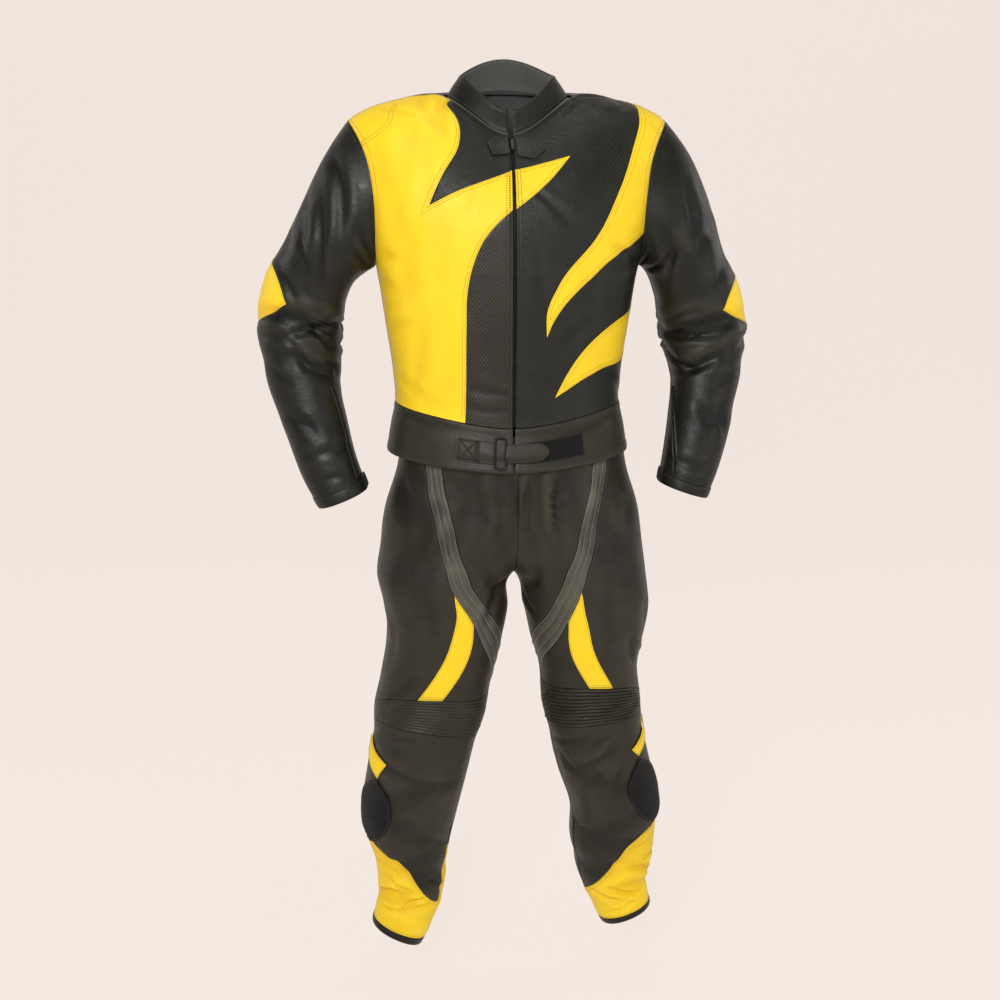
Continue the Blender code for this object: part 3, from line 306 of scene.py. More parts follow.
def ring(angle, half_width, front, back, squareness):
    """A rounded outline; 0 degrees is its front and 90 degrees its outer side."""
    s, c = np.sin(np.radians(angle)), np.cos(np.radians(angle))
    depth = np.where(c > 0, front, back)
    radius = (np.abs(s / half_width) ** squareness + np.abs(c / depth) ** squareness) ** (-1 / squareness)
    return radius * s, -radius * c


def band(table, angle, along):
    """A point of the body or the collar."""
    angle, along = spread(angle, along)
    r = between_rows(table, along)
    x, y = ring(angle, r["half_width"], r["front_depth"], r["back_depth"], r["squareness"])
    c = np.cos(np.radians(angle))
    z = r["side_height"] + np.where(c > 0, r["front_drop"], r["back_drop"]) * c ** 2
    return np.stack([x, y, z], -1)


def tube(table, angle, along):
    """A point of a sleeve or a leg, on the +X side."""
    angle, along = spread(angle, along)
    r = between_rows(table, along)
    front = r["half_front"] if "half_front" in r else r["half_depth"]
    back = r["half_back"] if "half_back" in r else r["half_depth"]
    across, y = ring(angle, r["half_width"], front, back, LEG_SQUARENESS)
    tilt = np.radians(r["tilt"])
    return np.stack([r["x"] + np.cos(tilt) * across, r["y"] + y, r["z"] + np.sin(tilt) * across], -1)


def body(angle, along):
    """A point of the jacket's body; along is 0 at the waist seam."""
    return band(BODY, angle, along)


def collar(angle, along):
    """A point of the stand collar; along is 0 at its foot."""
    return band(COLLAR, angle, along)


def neck_lining(angle, along):
    """The inside of the collar, and below it the inside of the body's neckline."""
    angle, along = spread(angle, along)
    above = collar(angle, np.maximum(along, 0))
    below = body(angle, NECK_ALONG + np.minimum(along, 0))
    return np.where((along >= 0)[..., None], above, below)


def armhole(angle):
    """A point of the armhole in the body's coordinates, for an angle round the sleeve."""
    a = np.radians(angle)
    return 90 - ARMHOLE["half_angle"] * np.cos(a), ARMHOLE["middle"] + ARMHOLE["half_height"] * np.sin(a)


def normal(form, angle, along):
    """The direction out of a form's surface."""
    across = form(angle + 0.5, along) - form(angle - 0.5, along)
    up = form(angle, along + 0.001) - form(angle, along - 0.001)
    n = np.cross(across, up) * getattr(form, "facing", 1)
    return n / np.linalg.norm(n, axis=-1, keepdims=True)


def make_sleeve_form(side):
    """A sleeve from the armhole down; facing says which way round its angles run."""
    def form(angle, along):
        angle, along = spread(angle, along)
        rim_angle, rim_along = armhole(angle)
        rim = body(rim_angle, rim_along) + ARMHOLE_STANDS * normal(body, rim_angle, rim_along)
        point = tube(SLEEVE[side], angle, along)
        start = tube(SLEEVE[side], angle, 0 * along)
        point = point + (rim - start) * (1 - eased(along / SLEEVE_CAP))[..., None]
        point[..., 0] *= SIGN[side]
        return point
    form.facing = -SIGN[side]
    return form


def make_leg_form(side):
    """A trouser leg; middle is the plane that it doesn't cross."""
    def form(angle, along):
        point = tube(LEG[side], angle, along)
        point[..., 0] = PELVIS_X + SIGN[side] * point[..., 0]
        return point
    form.facing = -SIGN[side]
    form.middle = (PELVIS_X, SIGN[side])
    return form


SLEEVE_FORM = {side: make_sleeve_form(side) for side in SIGN}
LEG_FORM = {side: make_leg_form(side) for side in SIGN}
print("cuff centre", SLEEVE_FORM["left"](np.array([0.0, 180.0]), np.array([0.56, 0.56])).mean(0).round(3))

# %% [markdown]
# ## Folds and creases
# Leather 1.3 mm thick over a lining doesn't drape, it buckles: a hard trough with a soft roll on
# each side. Big folds gather at the elbows, at the hip joint and above the hem. Each row below is
# one crease, named by its two ends on the form, its width, its depth (negative for a trough), and
# how far its middle bows. Simulation would place them at random, while rows put them where the arms
# and knees bend.

# %% Crease tables
BROAD_FOLDS = dict(
    sleeve=dict(
        angle= [-20,   0,     10,    -30,   60,    100,   20,    200],
        along= [0.205, 0.243, 0.282, 0.322, 0.140, 0.330, 0.420, 0.250],
        round= [60,    70,    60,    55,    45,    50,    60,    60],
        wide=  [0.013, 0.014, 0.015, 0.016, 0.030, 0.018, 0.022, 0.020],
        slant= [.0004, .0001, -.0003, -.0005, .0012, .0003, -.0004, 0.0],
        height=[0.004, -.006, 0.004, -.005, -.004, -.003, -.003, 0.004],
    ),
    leg=dict(
        angle= [24,    45,    70,    15,    -5,    180,   180,   180,   20,    -20,   40,    0,     150,   -60],
        along= [0.150, 0.190, 0.120, 0.610, 0.680, 0.480, 0.520, 0.560, 0.770, 0.800, 0.822, 0.848, 0.790, 0.760],
        round= [9,     10,    12,    50,    45,    60,    70,    60,    60,    70,    60,    80,    80,    60],
        wide=  [0.090, 0.080, 0.090, 0.013, 0.016, 0.014, 0.014, 0.014, 0.010, 0.011, 0.010, 0.010, 0.016, 0.014],
        slant= [0.0,   0.0,   0.0,   .0006, -.0006, 0.0,  0.0,   0.0,   .0003, -.0003, .0002, -.0002, 0.0, .0004],
        height=[-.004, -.004, -.003, -.005, -.004, 0.004, -.006, 0.004, -.005, 0.004, -.005, 0.004, 0.004, -.004],
    ),
)
# angle and along of one end, angle and along of the other, width, depth, bow; widths and depths in mm.
# A row's place in its list sets how it wavers, so new rows go at the end.
CREASES = {
    "body": [
        (-68, .575, -52, .455, 12, -3.4, 6), (-62, .470, -58, .330, 12, -1.6, 4), (-52, .460, -49, .340, 12, -1.6, -3),
        (-74, .430, -66, .320, 12, -1.4, 3), (62, .560, 80, .590, 8, -2.4, 3), (70, .480, 84, .520, 9, -1.8, -3),
        (-67, .394, -59, .280, 12, -1.6, 4), (-53, .281, -58, .170, 14, -1.4, -5), (-53, .141, -63, .035, 12, -1.6, 4),
        (-31, .049, -3, .044, 6, -1.6, 2), (-31, .024, -5, .025, 6, -1.4, -2), (12, .359, 35, .281, 9, -1.3, 4),
        (66, .588, 88, .520, 7, -2.4, 3), (48, .537, 66, .554, 7, -1.6, 0), (-84, .560, -47, .430, 10, -2.0, 8),
        (-75, -.012, -37, -.015, 7, -1.6, 2), (10, -.013, 68, -.018, 7, -1.6, -2), (55, .068, 84, .004, 9, -1.6, 3),
        (-92, .239, -61, .235, 8, -2.6, 4), (-90, .215, -66, .190, 9, -1.8, -3), (-79, .121, -57, .140, 9, -1.6, 2),
        (53, .256, 71, .230, 8, -1.8, 0), (27, .108, 47, .140, 9, -1.4, 0), (88, .250, 60, .215, 8, -2.0, 4),
        (-40, .300, -44, .180, 16, -1.0, 4), (-24, .360, -30, .300, 8, -1.0, 0), (14, .250, 18, .120, 12, -1.0, 3),
        (140, .520, 122, .430, 12, -2.2, 6), (220, .520, 238, .430, 12, -2.2, -6), (120, .300, 150, .250, 14, -3.0, 6),
        (240, .300, 210, .250, 14, -3.0, -6), (160, .080, 200, .075, 11, -3.0, 4), (140, .050, 215, .048, 11, -2.6, -4),
        (120, .110, 150, .120, 10, -2.0, 3), (240, .105, 212, .120, 10, -2.0, 3), (175, .400, 178, .200, 18, -1.4, 5),
        (-36, -.060, 40, -.062, 8, -1.0, 2), (100, -.030, 170, -.035, 9, -1.6, 3),
        (190, -.050, 262, -.040, 9, -1.6, -3), (-80, .480, -58, .470, 9, -1.4, 4),
        (-70, .330, -88, .300, 10, -1.8, 3), (72, .330, 60, .300, 9, -1.2, 0),
        (-50, .020, -80, .060, 10, -1.5, 4), (40, .210, 47, .120, 14, -1.0, 0), (30, .470, 42, .420, 9, -1.2, 2),
    ],
    "sleeve_right": [
        (60, .035, -1, .071, 10, -3.0, 6), (67, .089, 20, .150, 10, -3.2, -5), (37, .073, -11, .152, 9, -3.0, 6),
        (-11, .041, -70, .012, 9, -3.2, 4), (-18, .064, -67, .022, 8, -2.6, -4), (64, .181, 10, .214, 9, -2.8, 5),
        (96, .272, 20, .240, 8, -3.4, 5), (24, .271, -62, .207, 8, -3.6, -5), (66, .284, 5, .278, 8, -2.8, 5),
        (13, .275, -10, .320, 9, -2.2, 4), (-5, .236, -50, .268, 7, -2.8, 3), (36, .474, -60, .483, 8, -1.8, 3),
        (38, .406, -1, .447, 10, -1.8, 5), (60, .330, 20, .352, 10, -2.0, 4), (-40, .300, -70, .330, 8, -2.4, 3),
        (110, .120, 150, .160, 12, -3.0, 6), (160, .230, 220, .225, 9, -3.6, 5), (150, .270, 215, .280, 10, -3.2, -4),
        (250, .200, 290, .215, 8, -4.0, 3), (245, .260, 285, .262, 8, -4.0, -3), (170, .400, 210, .440, 12, -2.2, 5),
        (20, .515, -30, .520, 7, -1.4, 2), (120, .480, 200, .490, 10, -1.8, 3), (80, .140, 50, .180, 12, -2.0, 4),
    ],
    "sleeve_left": [
        (-70, .060, -12, .100, 9, -3.2, 5), (9, .133, 73, .109, 10, -2.6, -4), (-69, .235, 9, .262, 9, -4.2, 6),
        (-50, .202, -5, .212, 8, -3.2, -3), (40, .055, 17, .130, 11, -2.6, 6), (-15, .042, -42, .124, 10, -3.0, -6),
        (-78, .274, -25, .331, 9, -2.8, 5), (-41, .331, 3, .304, 9, -2.4, 3), (-52, .509, 26, .505, 8, -1.8, 3),
        (70, .150, 20, .190, 11, -2.4, 5), (90, .285, 25, .280, 9, -3.0, -4), (60, .330, 10, .360, 10, -2.0, 4),
        (-50, .030, -80, .010, 8, -3.0, 2), (110, .120, 150, .160, 12, -3.0, 6), (160, .235, 220, .228, 9, -3.6, 5),
        (150, .275, 215, .285, 10, -3.2, -4), (250, .205, 290, .218, 8, -4.0, 3), (245, .262, 285, .265, 8, -4.0, -3),
        (30, .420, 60, .450, 11, -1.8, 4), (170, .400, 210, .440, 12, -2.2, 5), (-20, .400, 10, .440, 10, -1.6, -3),
    ],
    "leg_right": [
        (35, .045, 10, .150, 8, -3.2, 3), (26, .050, 1, .166, 8, -3.8, 3), (15, .045, -12, .168, 8, -3.6, -3),
        (3, .055, -26, .186, 8, -3.4, 3), (68, .055, 44, .170, 10, -2.4, 3), (75, .070, 64, .140, 8, -2.0, 2),
        (69, .546, -42, .586, 8, -2.6, -12), (50, .100, 40, .128, 6, -1.6, 2), (8, .090, -4, .124, 6, -1.6, 2),
        (45, .056, 22, .150, 11, -3.2, 5), (31, .054, 12, .140, 9, -2.6, -4), (56, .070, 38, .150, 10, -2.4, 5),
        (78, .079, 46, .183, 12, -2.8, 6), (13, .045, -14, .165, 11, -3.0, 5), (-60, .240, -32, .312, 9, -3.0, -4),
        (-20, .215, -50, .262, 8, -2.6, 3), (23, .223, 15, .328, 14, -2.0, 6), (53, .457, 22, .406, 9, -1.6, 5),
        (39, .513, 15, .511, 5, -1.4, 1), (34, .572, -44, .592, 9, -0.9, -8), (46, .535, 12, .545, 8, -1.2, 3),
        (-31, .690, -66, .706, 7, -2.4, 2), (84, .826, 9, .806, 6.4, -6, 5), (62, .842, 14, .834, 4.8, -4.5, -3),
        (14, .832, -28, .805, 5.6, -5.4, 4), (28, .848, -45, .815, 4.8, -4.5, 6), (43, .785, -10, .795, 6.4, -5.1, -5),
        (75, .765, 35, .770, 6.4, -4.2, 4), (-30, .770, -60, .790, 5.6, -3.6, 3), (180, .500, 240, .505, 9, -4.0, 5),
        (130, .520, 200, .528, 9, -3.6, -5), (150, .470, 215, .478, 9, -3.4, 4), (120, .780, 200, .790, 6.4, -6, 5),
        (140, .820, 230, .812, 6.4, -6, -4), (110, .845, 180, .848, 5.6, -4.5, 3), (200, .750, 260, .760, 6.4, -4.5, 4),
        (110, .130, 150, .200, 14, -3.4, 8), (150, .240, 100, .270, 12, -2.6, 5), (250, .255, 215, .290, 11, -3.4, 5),
        (160, .090, 172, .190, 12, -2.4, -5), (60, .300, 66, .400, 14, -1.8, 5), (0, .620, 40, .640, 10, -1.6, 4),
        (125, .600, 190, .620, 12, -2.2, 5), (200, .660, 240, .640, 12, -2.2, -4), (90, .320, 110, .410, 14, -2.0, -6),
    ],
    "leg_left": [
        (6, .060, -22, .184, 8, -2.6, 3), (16, .045, -6, .164, 8, -3.0, 3), (29, .050, 2, .170, 8, -2.8, -3),
        (36, .048, 6, .160, 8, -2.4, 3), (63, .070, 30, .190, 10, -2.4, 3), (54, .060, 51, .100, 7, -2.0, 2),
        (22, .088, 14, .120, 6, -1.6, 2), (-2, .092, -10, .130, 6, -1.6, 2),
        (15, .050, -8, .155, 11, -3.0, 5), (28, .062, 8, .150, 9, -2.8, -4), (59, .080, 40, .168, 11, -2.6, 5),
        (66, .114, 50, .206, 12, -2.6, -5), (42, .050, 30, .120, 9, -2.2, 3), (-84, .269, -60, .303, 8, -3.0, 4),
        (-30, .210, -55, .256, 8, -2.6, -3), (19, .247, 14, .350, 13, -1.8, 5), (39, .337, 50, .402, 10, -2.8, 5),
        (72, .353, 92, .383, 9, -4.2, 5), (-73, .526, -16, .520, 6, -2.0, 3), (7, .517, -12, .538, 6, -2.0, 3),
        (-57, .551, -38, .580, 7, -3.0, 5), (14, .538, -35, .567, 8, -3.4, -7), (-28, .592, -42, .659, 9, -2.6, 5),
        (20, .571, 0, .626, 9, -2.0, 4), (-15, .571, -10, .607, 7, -1.8, -3), (-36, .694, -11, .717, 7, -2.2, 3),
        (55, .733, 15, .752, 8, -3.4, 4), (76, .806, 13, .778, 6.4, -6.3, 5), (54, .840, -17, .812, 5.6, -5.7, -6),
        (-52, .812, 17, .847, 6.4, -5.4, 6), (-54, .857, 28, .850, 4.8, -3.6, 3), (80, .762, 45, .770, 5.6, -4.2, 3),
        (180, .514, 240, .519, 9, -4.0, 5), (130, .534, 200, .542, 9, -3.6, -5), (150, .485, 215, .493, 9, -3.4, 4),
        (120, .780, 200, .790, 6.4, -6, 5), (140, .820, 230, .812, 6.4, -6, -4), (110, .845, 180, .848, 5.6, -4.5, 3),
        (110, .130, 150, .200, 14, -3.4, 8), (150, .240, 100, .271, 12, -2.6, 5), (250, .256, 215, .292, 11, -3.4, 5),
        (160, .090, 172, .190, 12, -2.4, -5), (60, .282, 66, .337, 12, -1.8, 5), (125, .607, 190, .626, 12, -2.2, 5),
    ],
}
# The lower edge of the padded shin, where the leather steps down on to the thinner ankle part.
SHIN_EDGE = {
    "right": [(-78, .668), (-60, .680), (-26, .710), (5, .737), (30, .738), (60, .714), (88, .690)],
    "left": [(-78, .672), (-40, .684), (-29, .689), (19, .709), (45, .703), (66, .690), (88, .676)],
}
print("creases:", {name: len(rows) for name, rows in CREASES.items()})


# %% The height of the leather over its form
def broad_height(table, angle, along):
    """Wide soft swells, each a hill or a hollow with a middle and a reach."""
    total = 0 * along
    for middle, centre, reach, wide, slant, height in zip(*table.values()):
        across = (angle - middle + 180) % 360 - 180
        total = total + height * np.exp(-(across / reach) ** 2 - ((along - centre - slant * across) / wide) ** 2)
    return total


def crease_height(rows, scale, angle, along):
    """Troughs with a roll on each side; scale is metres of cloth per degree."""
    total = 0 * along
    for k, (a0, v0, a1, v1, width, depth, bow) in enumerate(rows):
        length = math.hypot((a1 - a0) * scale, v1 - v0)
        ux, uy = (a1 - a0) * scale / length, (v1 - v0) / length
        x = ((angle - (a0 + a1) / 2 + 180) % 360 - 180) * scale
        y = along - (v0 + v1) / 2
        t = (x * ux + y * uy) / (length / 2)
        uneven = 1 + 0.22 * np.sin(3.1 * t + 1.7 * k)
        d = (y * ux - x * uy - bow * 0.001 * (1 - t * t)) / (width * 0.001 * uneven)
        roll = np.exp(-(d - 1.6) ** 2) * 0.45 + np.exp(-(d + 1.6) ** 2) * 0.35
        total = total + depth * 0.001 * np.exp(-t ** 4) * (np.exp(-np.abs(d) ** 1.6) - roll)
    return total


# depth, width of the step and length over which it fades, in metres; middle and reach round the leg in degrees
LEDGE = dict(depth=0.0046, width=0.004, fades=0.045, middle=3, reach=78, soft=4)


def shin_step(side, angle, along):
    """The ledge under the padded shin."""
    below = along - np.interp(angle, *np.array(SHIN_EDGE[side]).T)
    inside = 1 / (1 + np.exp((np.abs(angle - LEDGE["middle"]) - LEDGE["reach"]) / LEDGE["soft"]))
    fade = np.exp(-np.clip(below, 0, 1) / LEDGE["fades"])
    return -LEDGE["depth"] * inside * eased(below / LEDGE["width"] + 0.5) * fade


DEPTH = {"body": 1.25, "sleeve": 1.35, "leg": 1.15}   # what the creases' depths are multiplied by
SLEEVE_EASE = 0.030    # folds start this far down the sleeve
ARMHOLE_EASE = 0.4     # and end this share of the armhole's size away from it


def leather_height(form, angle, along):
    """All folds at a point of a form."""
    name = FORM_NAME.get(form)
    if name is None:
        return 0 * along
    kind = name.split("_")[0]
    height = DEPTH[kind] * crease_height(CREASES[name], GIRTH[kind] / 360, angle, along)
    if kind in BROAD_FOLDS:
        height = height + broad_height(BROAD_FOLDS[kind], angle, along)
    if kind == "leg":
        height = height + shin_step(name.split("_")[1], angle, along)
    if kind == "sleeve":
        return height * eased(along / SLEEVE_EASE)
    if kind == "body":   # the armhole is an ellipse on the body's side
        beyond = np.hypot((np.abs((angle + 180) % 360 - 180) - 90) / ARMHOLE["half_angle"],
                          (along - ARMHOLE["middle"]) / ARMHOLE["half_height"]) - 1
        return height * eased(beyond / ARMHOLE_EASE)
    return height


FORM_NAME = {body: "body"}
for side in SIGN:
    FORM_NAME[SLEEVE_FORM[side]] = "sleeve_" + side
    FORM_NAME[LEG_FORM[side]] = "leg_" + side


def girth_of(form):
    """The length that 360 degrees of a form stand for."""
    return GIRTH[FORM_NAME[form].split("_")[0]] if form in FORM_NAME else GIRTH["collar"]


def laid(form, angle, along, height):
    """Points at a height over a form and its folds. A leg stays on its own side of the rise."""
    angle, along = np.asarray(angle, float), np.asarray(along, float)
    height = height + leather_height(form, angle, along)
    point = form(angle, along) + normal(form, angle, along) * height[..., None]
    if hasattr(form, "middle"):
        middle, sign = form.middle
        point[..., 0] = middle + sign * np.maximum(sign * (point[..., 0] - middle), SEAM_GAP / 2)
    return point


print("deepest fold, right sleeve:", round(float(leather_height(SLEEVE_FORM["right"], *np.meshgrid(
    np.arange(-90, 270, 4.0), np.arange(0, 0.56, 0.004))).min()) * 1000, 1), "mm")

# %% [markdown]
# ## Leather and cloth
# Race suits are cowhide, dyed through and sealed with a thin pigmented coat. That coat gives the
# eye a broad, soft highlight (roughness near a half, IOR 1.5) and a fine pebble grain. The grain of
# cowhide is about 1 mm; it is drawn at 2.4 mm so that it shows at all. The folds are real geometry;
# the material adds grain and small wrinkles, and reads a "fold" attribute, the local height of the
# leather, for painted shade that darkens the troughs and a painted highlight that lightens the
# rolls beside them.

# %% Leather
GRAIN = 1 / 0.0024        # cells per metre
WRINKLE = 1 / 0.014
PERFORATION = 1 / 0.0048  # the holes of the ventilated panels; really 3 mm apart, drawn coarser to show
LACQUER_RUB = "3e3e40"    # where the lacquer is rubbed and dusty


def leather(name, hex_colour, dark, light, roughness=0.5, perforated=None):
    """Pigmented cowhide. dark and light are the colours of its random tone and also of the painted shade in creases and
    the painted highlight on rolls. perforated is the part of the piece, in pattern degrees, that has holes.
    """
    made, tree, shader = start_material(name, IOR=1.5, Specular_IOR_Level=0.27)
    place = node(tree, "ShaderNodeTexCoord").outputs["Object"]
    fold = node(tree, "ShaderNodeAttribute", attribute_name="fold").outputs["Fac"]
    cloud = node(tree, "ShaderNodeTexNoise", {"Vector": place, "Scale": 22.0, "Detail": 4.0, "Roughness": 0.6})
    small = node(tree, "ShaderNodeTexNoise", {"Vector": place, "Scale": WRINKLE, "Detail": 5.0, "Roughness": 0.62,
                                              "Distortion": 0.9})
    grain = node(tree, "ShaderNodeTexVoronoi", {"Vector": place, "Scale": GRAIN})
    # painted shade and highlight: the fold height pulls the colour to dark in troughs and to light on rolls, and the
    # cloud noise adds random tone
    shade = node(tree, "ShaderNodeMath", {0: fold, 1: 0.7, 2: cloud.outputs["Fac"]}, operation="MULTIPLY_ADD")
    ramp = node(tree, "ShaderNodeValToRGB", {"Fac": shade.outputs[0]})
    ramp.color_ramp.elements[0].color = linear(dark)
    ramp.color_ramp.elements[0].position = 0.12
    ramp.color_ramp.elements[1].color = linear(light)
    ramp.color_ramp.elements[1].position = 0.95
    ramp.color_ramp.elements.new(0.5).color = linear(hex_colour)
    colour = ramp.outputs["Color"]
    height = node(tree, "ShaderNodeMath", {0: grain.outputs["Distance"], 1: 0.35}, operation="MULTIPLY").outputs[0]
    rough = node(tree, "ShaderNodeMapRange", {"Value": small.outputs["Fac"], "From Min": 0.3, "From Max": 0.7,
                                              "To Min": roughness - 0.07, "To Max": roughness + 0.07}).outputs[0]
    if perforated is not None:
        uv = node(tree, "ShaderNodeUVMap", uv_map="pattern").outputs["UV"]
        holes = node(tree, "ShaderNodeTexVoronoi", {"Vector": node(tree, "ShaderNodeMapping", {
            "Vector": uv, "Rotation": (0, 0, math.radians(45))}).outputs[0],
            "Scale": PERFORATION, "Randomness": 0.0}, voronoi_dimensions="2D")
        hole = node(tree, "ShaderNodeMapRange", {"Value": holes.outputs["Distance"], "From Min": 0.22,
                                                 "From Max": 0.38, "To Min": 1.0, "To Max": 0.0}).outputs[0]
        across = node(tree, "ShaderNodeSeparateXYZ", {"Vector": uv}).outputs["X"]
        low, high = (degrees * GIRTH["body"] / 360 for degrees in perforated)
        above = node(tree, "ShaderNodeMath", {0: across, 1: low}, operation="GREATER_THAN").outputs[0]
        under = node(tree, "ShaderNodeMath", {0: across, 1: high}, operation="LESS_THAN").outputs[0]
        both = node(tree, "ShaderNodeMath", {0: above, 1: under}, operation="MULTIPLY").outputs[0]
        hole = node(tree, "ShaderNodeMath", {0: hole, 1: both}, operation="MULTIPLY").outputs[0]
        colour = node(tree, "ShaderNodeMix", {"Factor": hole, "A": colour, "B": linear("080807")},
                      data_type="RGBA")
        colour = [s for s in colour.outputs if s.type == "RGBA"][0]
        height = node(tree, "ShaderNodeMath", {0: height, 1: hole}, operation="SUBTRACT").outputs[0]
    wrinkles = node(tree, "ShaderNodeBump", {"Height": small.outputs["Fac"], "Strength": 0.16, "Distance": 0.004})
    pebble = node(tree, "ShaderNodeBump", {"Height": height, "Strength": 0.30, "Distance": 0.0007,
                                           "Normal": wrinkles.outputs["Normal"]})
    tree.links.new(colour, shader.inputs["Base Color"])
    tree.links.new(rough, shader.inputs["Roughness"])
    tree.links.new(pebble.outputs["Normal"], shader.inputs["Normal"])
    return made


def cloth(name, hex_colour, dark, pitch, roughness=0.85, sheen=0.3):
    """Knitted or woven cloth: threads in both directions, pitch metres apart."""
    made, tree, shader = start_material(name, Roughness=roughness, Sheen_Weight=sheen, Specular_IOR_Level=0.3)
    uv = node(tree, "ShaderNodeUVMap", uv_map="pattern").outputs["UV"]
    weft, warp = (node(tree, "ShaderNodeTexWave", {"Vector": uv, "Scale": 0.5 / pitch, "Distortion": 0.4},
                       bands_direction=way).outputs["Fac"] for way in "XY")
    both = node(tree, "ShaderNodeMath", {0: weft, 1: warp}, operation="MULTIPLY")
    ramp = node(tree, "ShaderNodeValToRGB", {"Fac": both.outputs[0]})
    ramp.color_ramp.elements[0].color = linear(dark)
    ramp.color_ramp.elements[1].color = linear(hex_colour)
    bump = node(tree, "ShaderNodeBump", {"Height": both.outputs[0], "Strength": 0.5, "Distance": 0.0006})
    tree.links.new(ramp.outputs["Color"], shader.inputs["Base Color"])
    tree.links.new(bump.outputs["Normal"], shader.inputs["Normal"])
    return made


def lacquered_metal(name, hex_colour, roughness):
    """Die-cast zinc with a thin black lacquer: a metal's highlight with small dust and rub marks."""
    made, tree, shader = start_material(name, Metallic=0.85)
    place = node(tree, "ShaderNodeTexCoord").outputs["Object"]
    rub = node(tree, "ShaderNodeTexNoise", {"Vector": place, "Scale": 900.0, "Detail": 3.0})
    ramp = node(tree, "ShaderNodeValToRGB", {"Fac": rub.outputs["Fac"]})
    ramp.color_ramp.elements[0].color = linear(hex_colour)
    ramp.color_ramp.elements[0].position = 0.55
    ramp.color_ramp.elements[1].color = linear(LACQUER_RUB)
    ramp.color_ramp.elements[1].position = 0.85
    rough = node(tree, "ShaderNodeMapRange", {"Value": rub.outputs["Fac"], "To Min": roughness - 0.1,
                                              "To Max": roughness + 0.1})
    tree.links.new(ramp.outputs["Color"], shader.inputs["Base Color"])
    tree.links.new(rough.outputs[0], shader.inputs["Roughness"])
    return made


def thread(name, hex_colour):
    """Bonded polyester sewing thread."""
    made, tree, shader = start_material(name, Roughness=0.6, Sheen_Weight=0.2)
    place = node(tree, "ShaderNodeTexCoord").outputs["Object"]
    twist = node(tree, "ShaderNodeTexNoise", {"Vector": place, "Scale": 1500.0})
    ramp = node(tree, "ShaderNodeValToRGB", {"Fac": twist.outputs["Fac"]})
    ramp.color_ramp.elements[0].color = linear(hex_colour)
    ramp.color_ramp.elements[0].position = 0.4
    ramp.color_ramp.elements[1].color = tuple(min(1, 1.35 * c) for c in linear(hex_colour))
    tree.links.new(ramp.outputs["Color"], shader.inputs["Base Color"])
    return made


MATERIAL = {
    "black": leather("black_pigmented_cowhide", "161610", "0a0a07", "29271e", roughness=0.45),
    "brown": leather("black_brown_pigmented_cowhide", "29261c", "1d1b14", "373125", roughness=0.49),
    "yellow": leather("yellow_pigmented_cowhide", "ebc71e", "e4bc1b", "f0cd24", roughness=0.5),
    "perforated": leather("black_perforated_cowhide", "1c1d17", "11110d", "2a2a22", roughness=0.45,
                          perforated=(-60, 62)),
    # the lower right front: a copy of the perforated leather whose lighter colour is a painted highlight
    "perforated_painted_highlight": leather("perforated_cowhide_painted_highlight", "2d2a22", "211f19", "3e392e", roughness=0.42,
                    perforated=(-60, -2.4)),
    "grey": leather("grey_coated_stretch_cloth", "4b493f", "38362e", "646256", roughness=0.5),
    "lining": cloth("grey_polyester_mesh_knit", "605f5b", "4a4946", 0.0022),
    "hook": cloth("black_woven_tape", "0e0f0e", "070706", 0.0012, roughness=0.95, sheen=0.04),
    "metal": lacquered_metal("black_lacquered_zinc", "232326", 0.38),
    "ochre_thread": thread("ochre_polyester_thread", "94740f"),
    "black_thread": thread("black_polyester_thread", "20201e"),
    "grey_thread": thread("grey_polyester_thread", "7b7c75"),
}
print("materials:", ", ".join(m.name for m in MATERIAL.values()))

# %% [markdown]
# ## Cutting a panel
# A panel starts as one flat face in pattern coordinates. Planes slice it into a grid fine enough to
# bend (bisect), the face is extruded to give the leather its thickness, and every point is then
# laid on the form. The outer rim is bevelled, because cut leather is turned under at a seam and
# never shows a square edge. Cutting in the flat keeps neighbours matched: two panels that share a
# seam line share it exactly, 0.4 mm apart.

# %% Pattern lines
LEATHER = 0.0020
SPACING = 0.005
GRID = (SPACING, SPACING)


def smooth(*rows, spacing=SPACING, girth=GIRTH["body"]):
    """A smooth line through (angle, along) rows, as evenly spaced points."""
    p = np.array(rows, float)
    scale = np.array([girth / 360, 1.0])
    keys = lengths(p * scale)
    at = np.linspace(0, keys[-1], max(2, int(round(keys[-1] / spacing)) + 1))
    if len(p) == 2:
        return p[0] + (p[1] - p[0]) * (at / keys[-1])[:, None]
    return curve_through(p, keys, at)


def straight(*rows, spacing=SPACING, girth=GIRTH["body"]):
    """Straight stretches between rows."""
    parts = [smooth(a, b, spacing=spacing, girth=girth) for a, b in zip(rows, rows[1:])]
    return np.concatenate([part if k == 0 else part[1:] for k, part in enumerate(parts)])


def armhole_line(side, start, end, turn=0):
    """Part of the armhole between two angles round the sleeve, as a line on the body."""
    points = max(3, int(abs(end - start) / (400 * SPACING)))
    round_body, along = armhole(np.linspace(start, end, points))
    return np.stack([SIGN[side] * round_body + turn, along], -1)


def apart(a, b):
    """Metres between two pattern points, with about 3 mm to the degree."""
    return np.hypot((a[0] - b[0]) * 0.003, a[1] - b[1])


def joined(*lines, least=0.0008):
    """One closed outline from lines laid end to end, without its repeated corners."""
    points = []
    for line in lines:
        for point in np.asarray(line, float):
            if not points or apart(point, points[-1]) > least:
                points.append(point)
    if apart(points[0], points[-1]) < least:
        points.pop()
    return np.array(points)


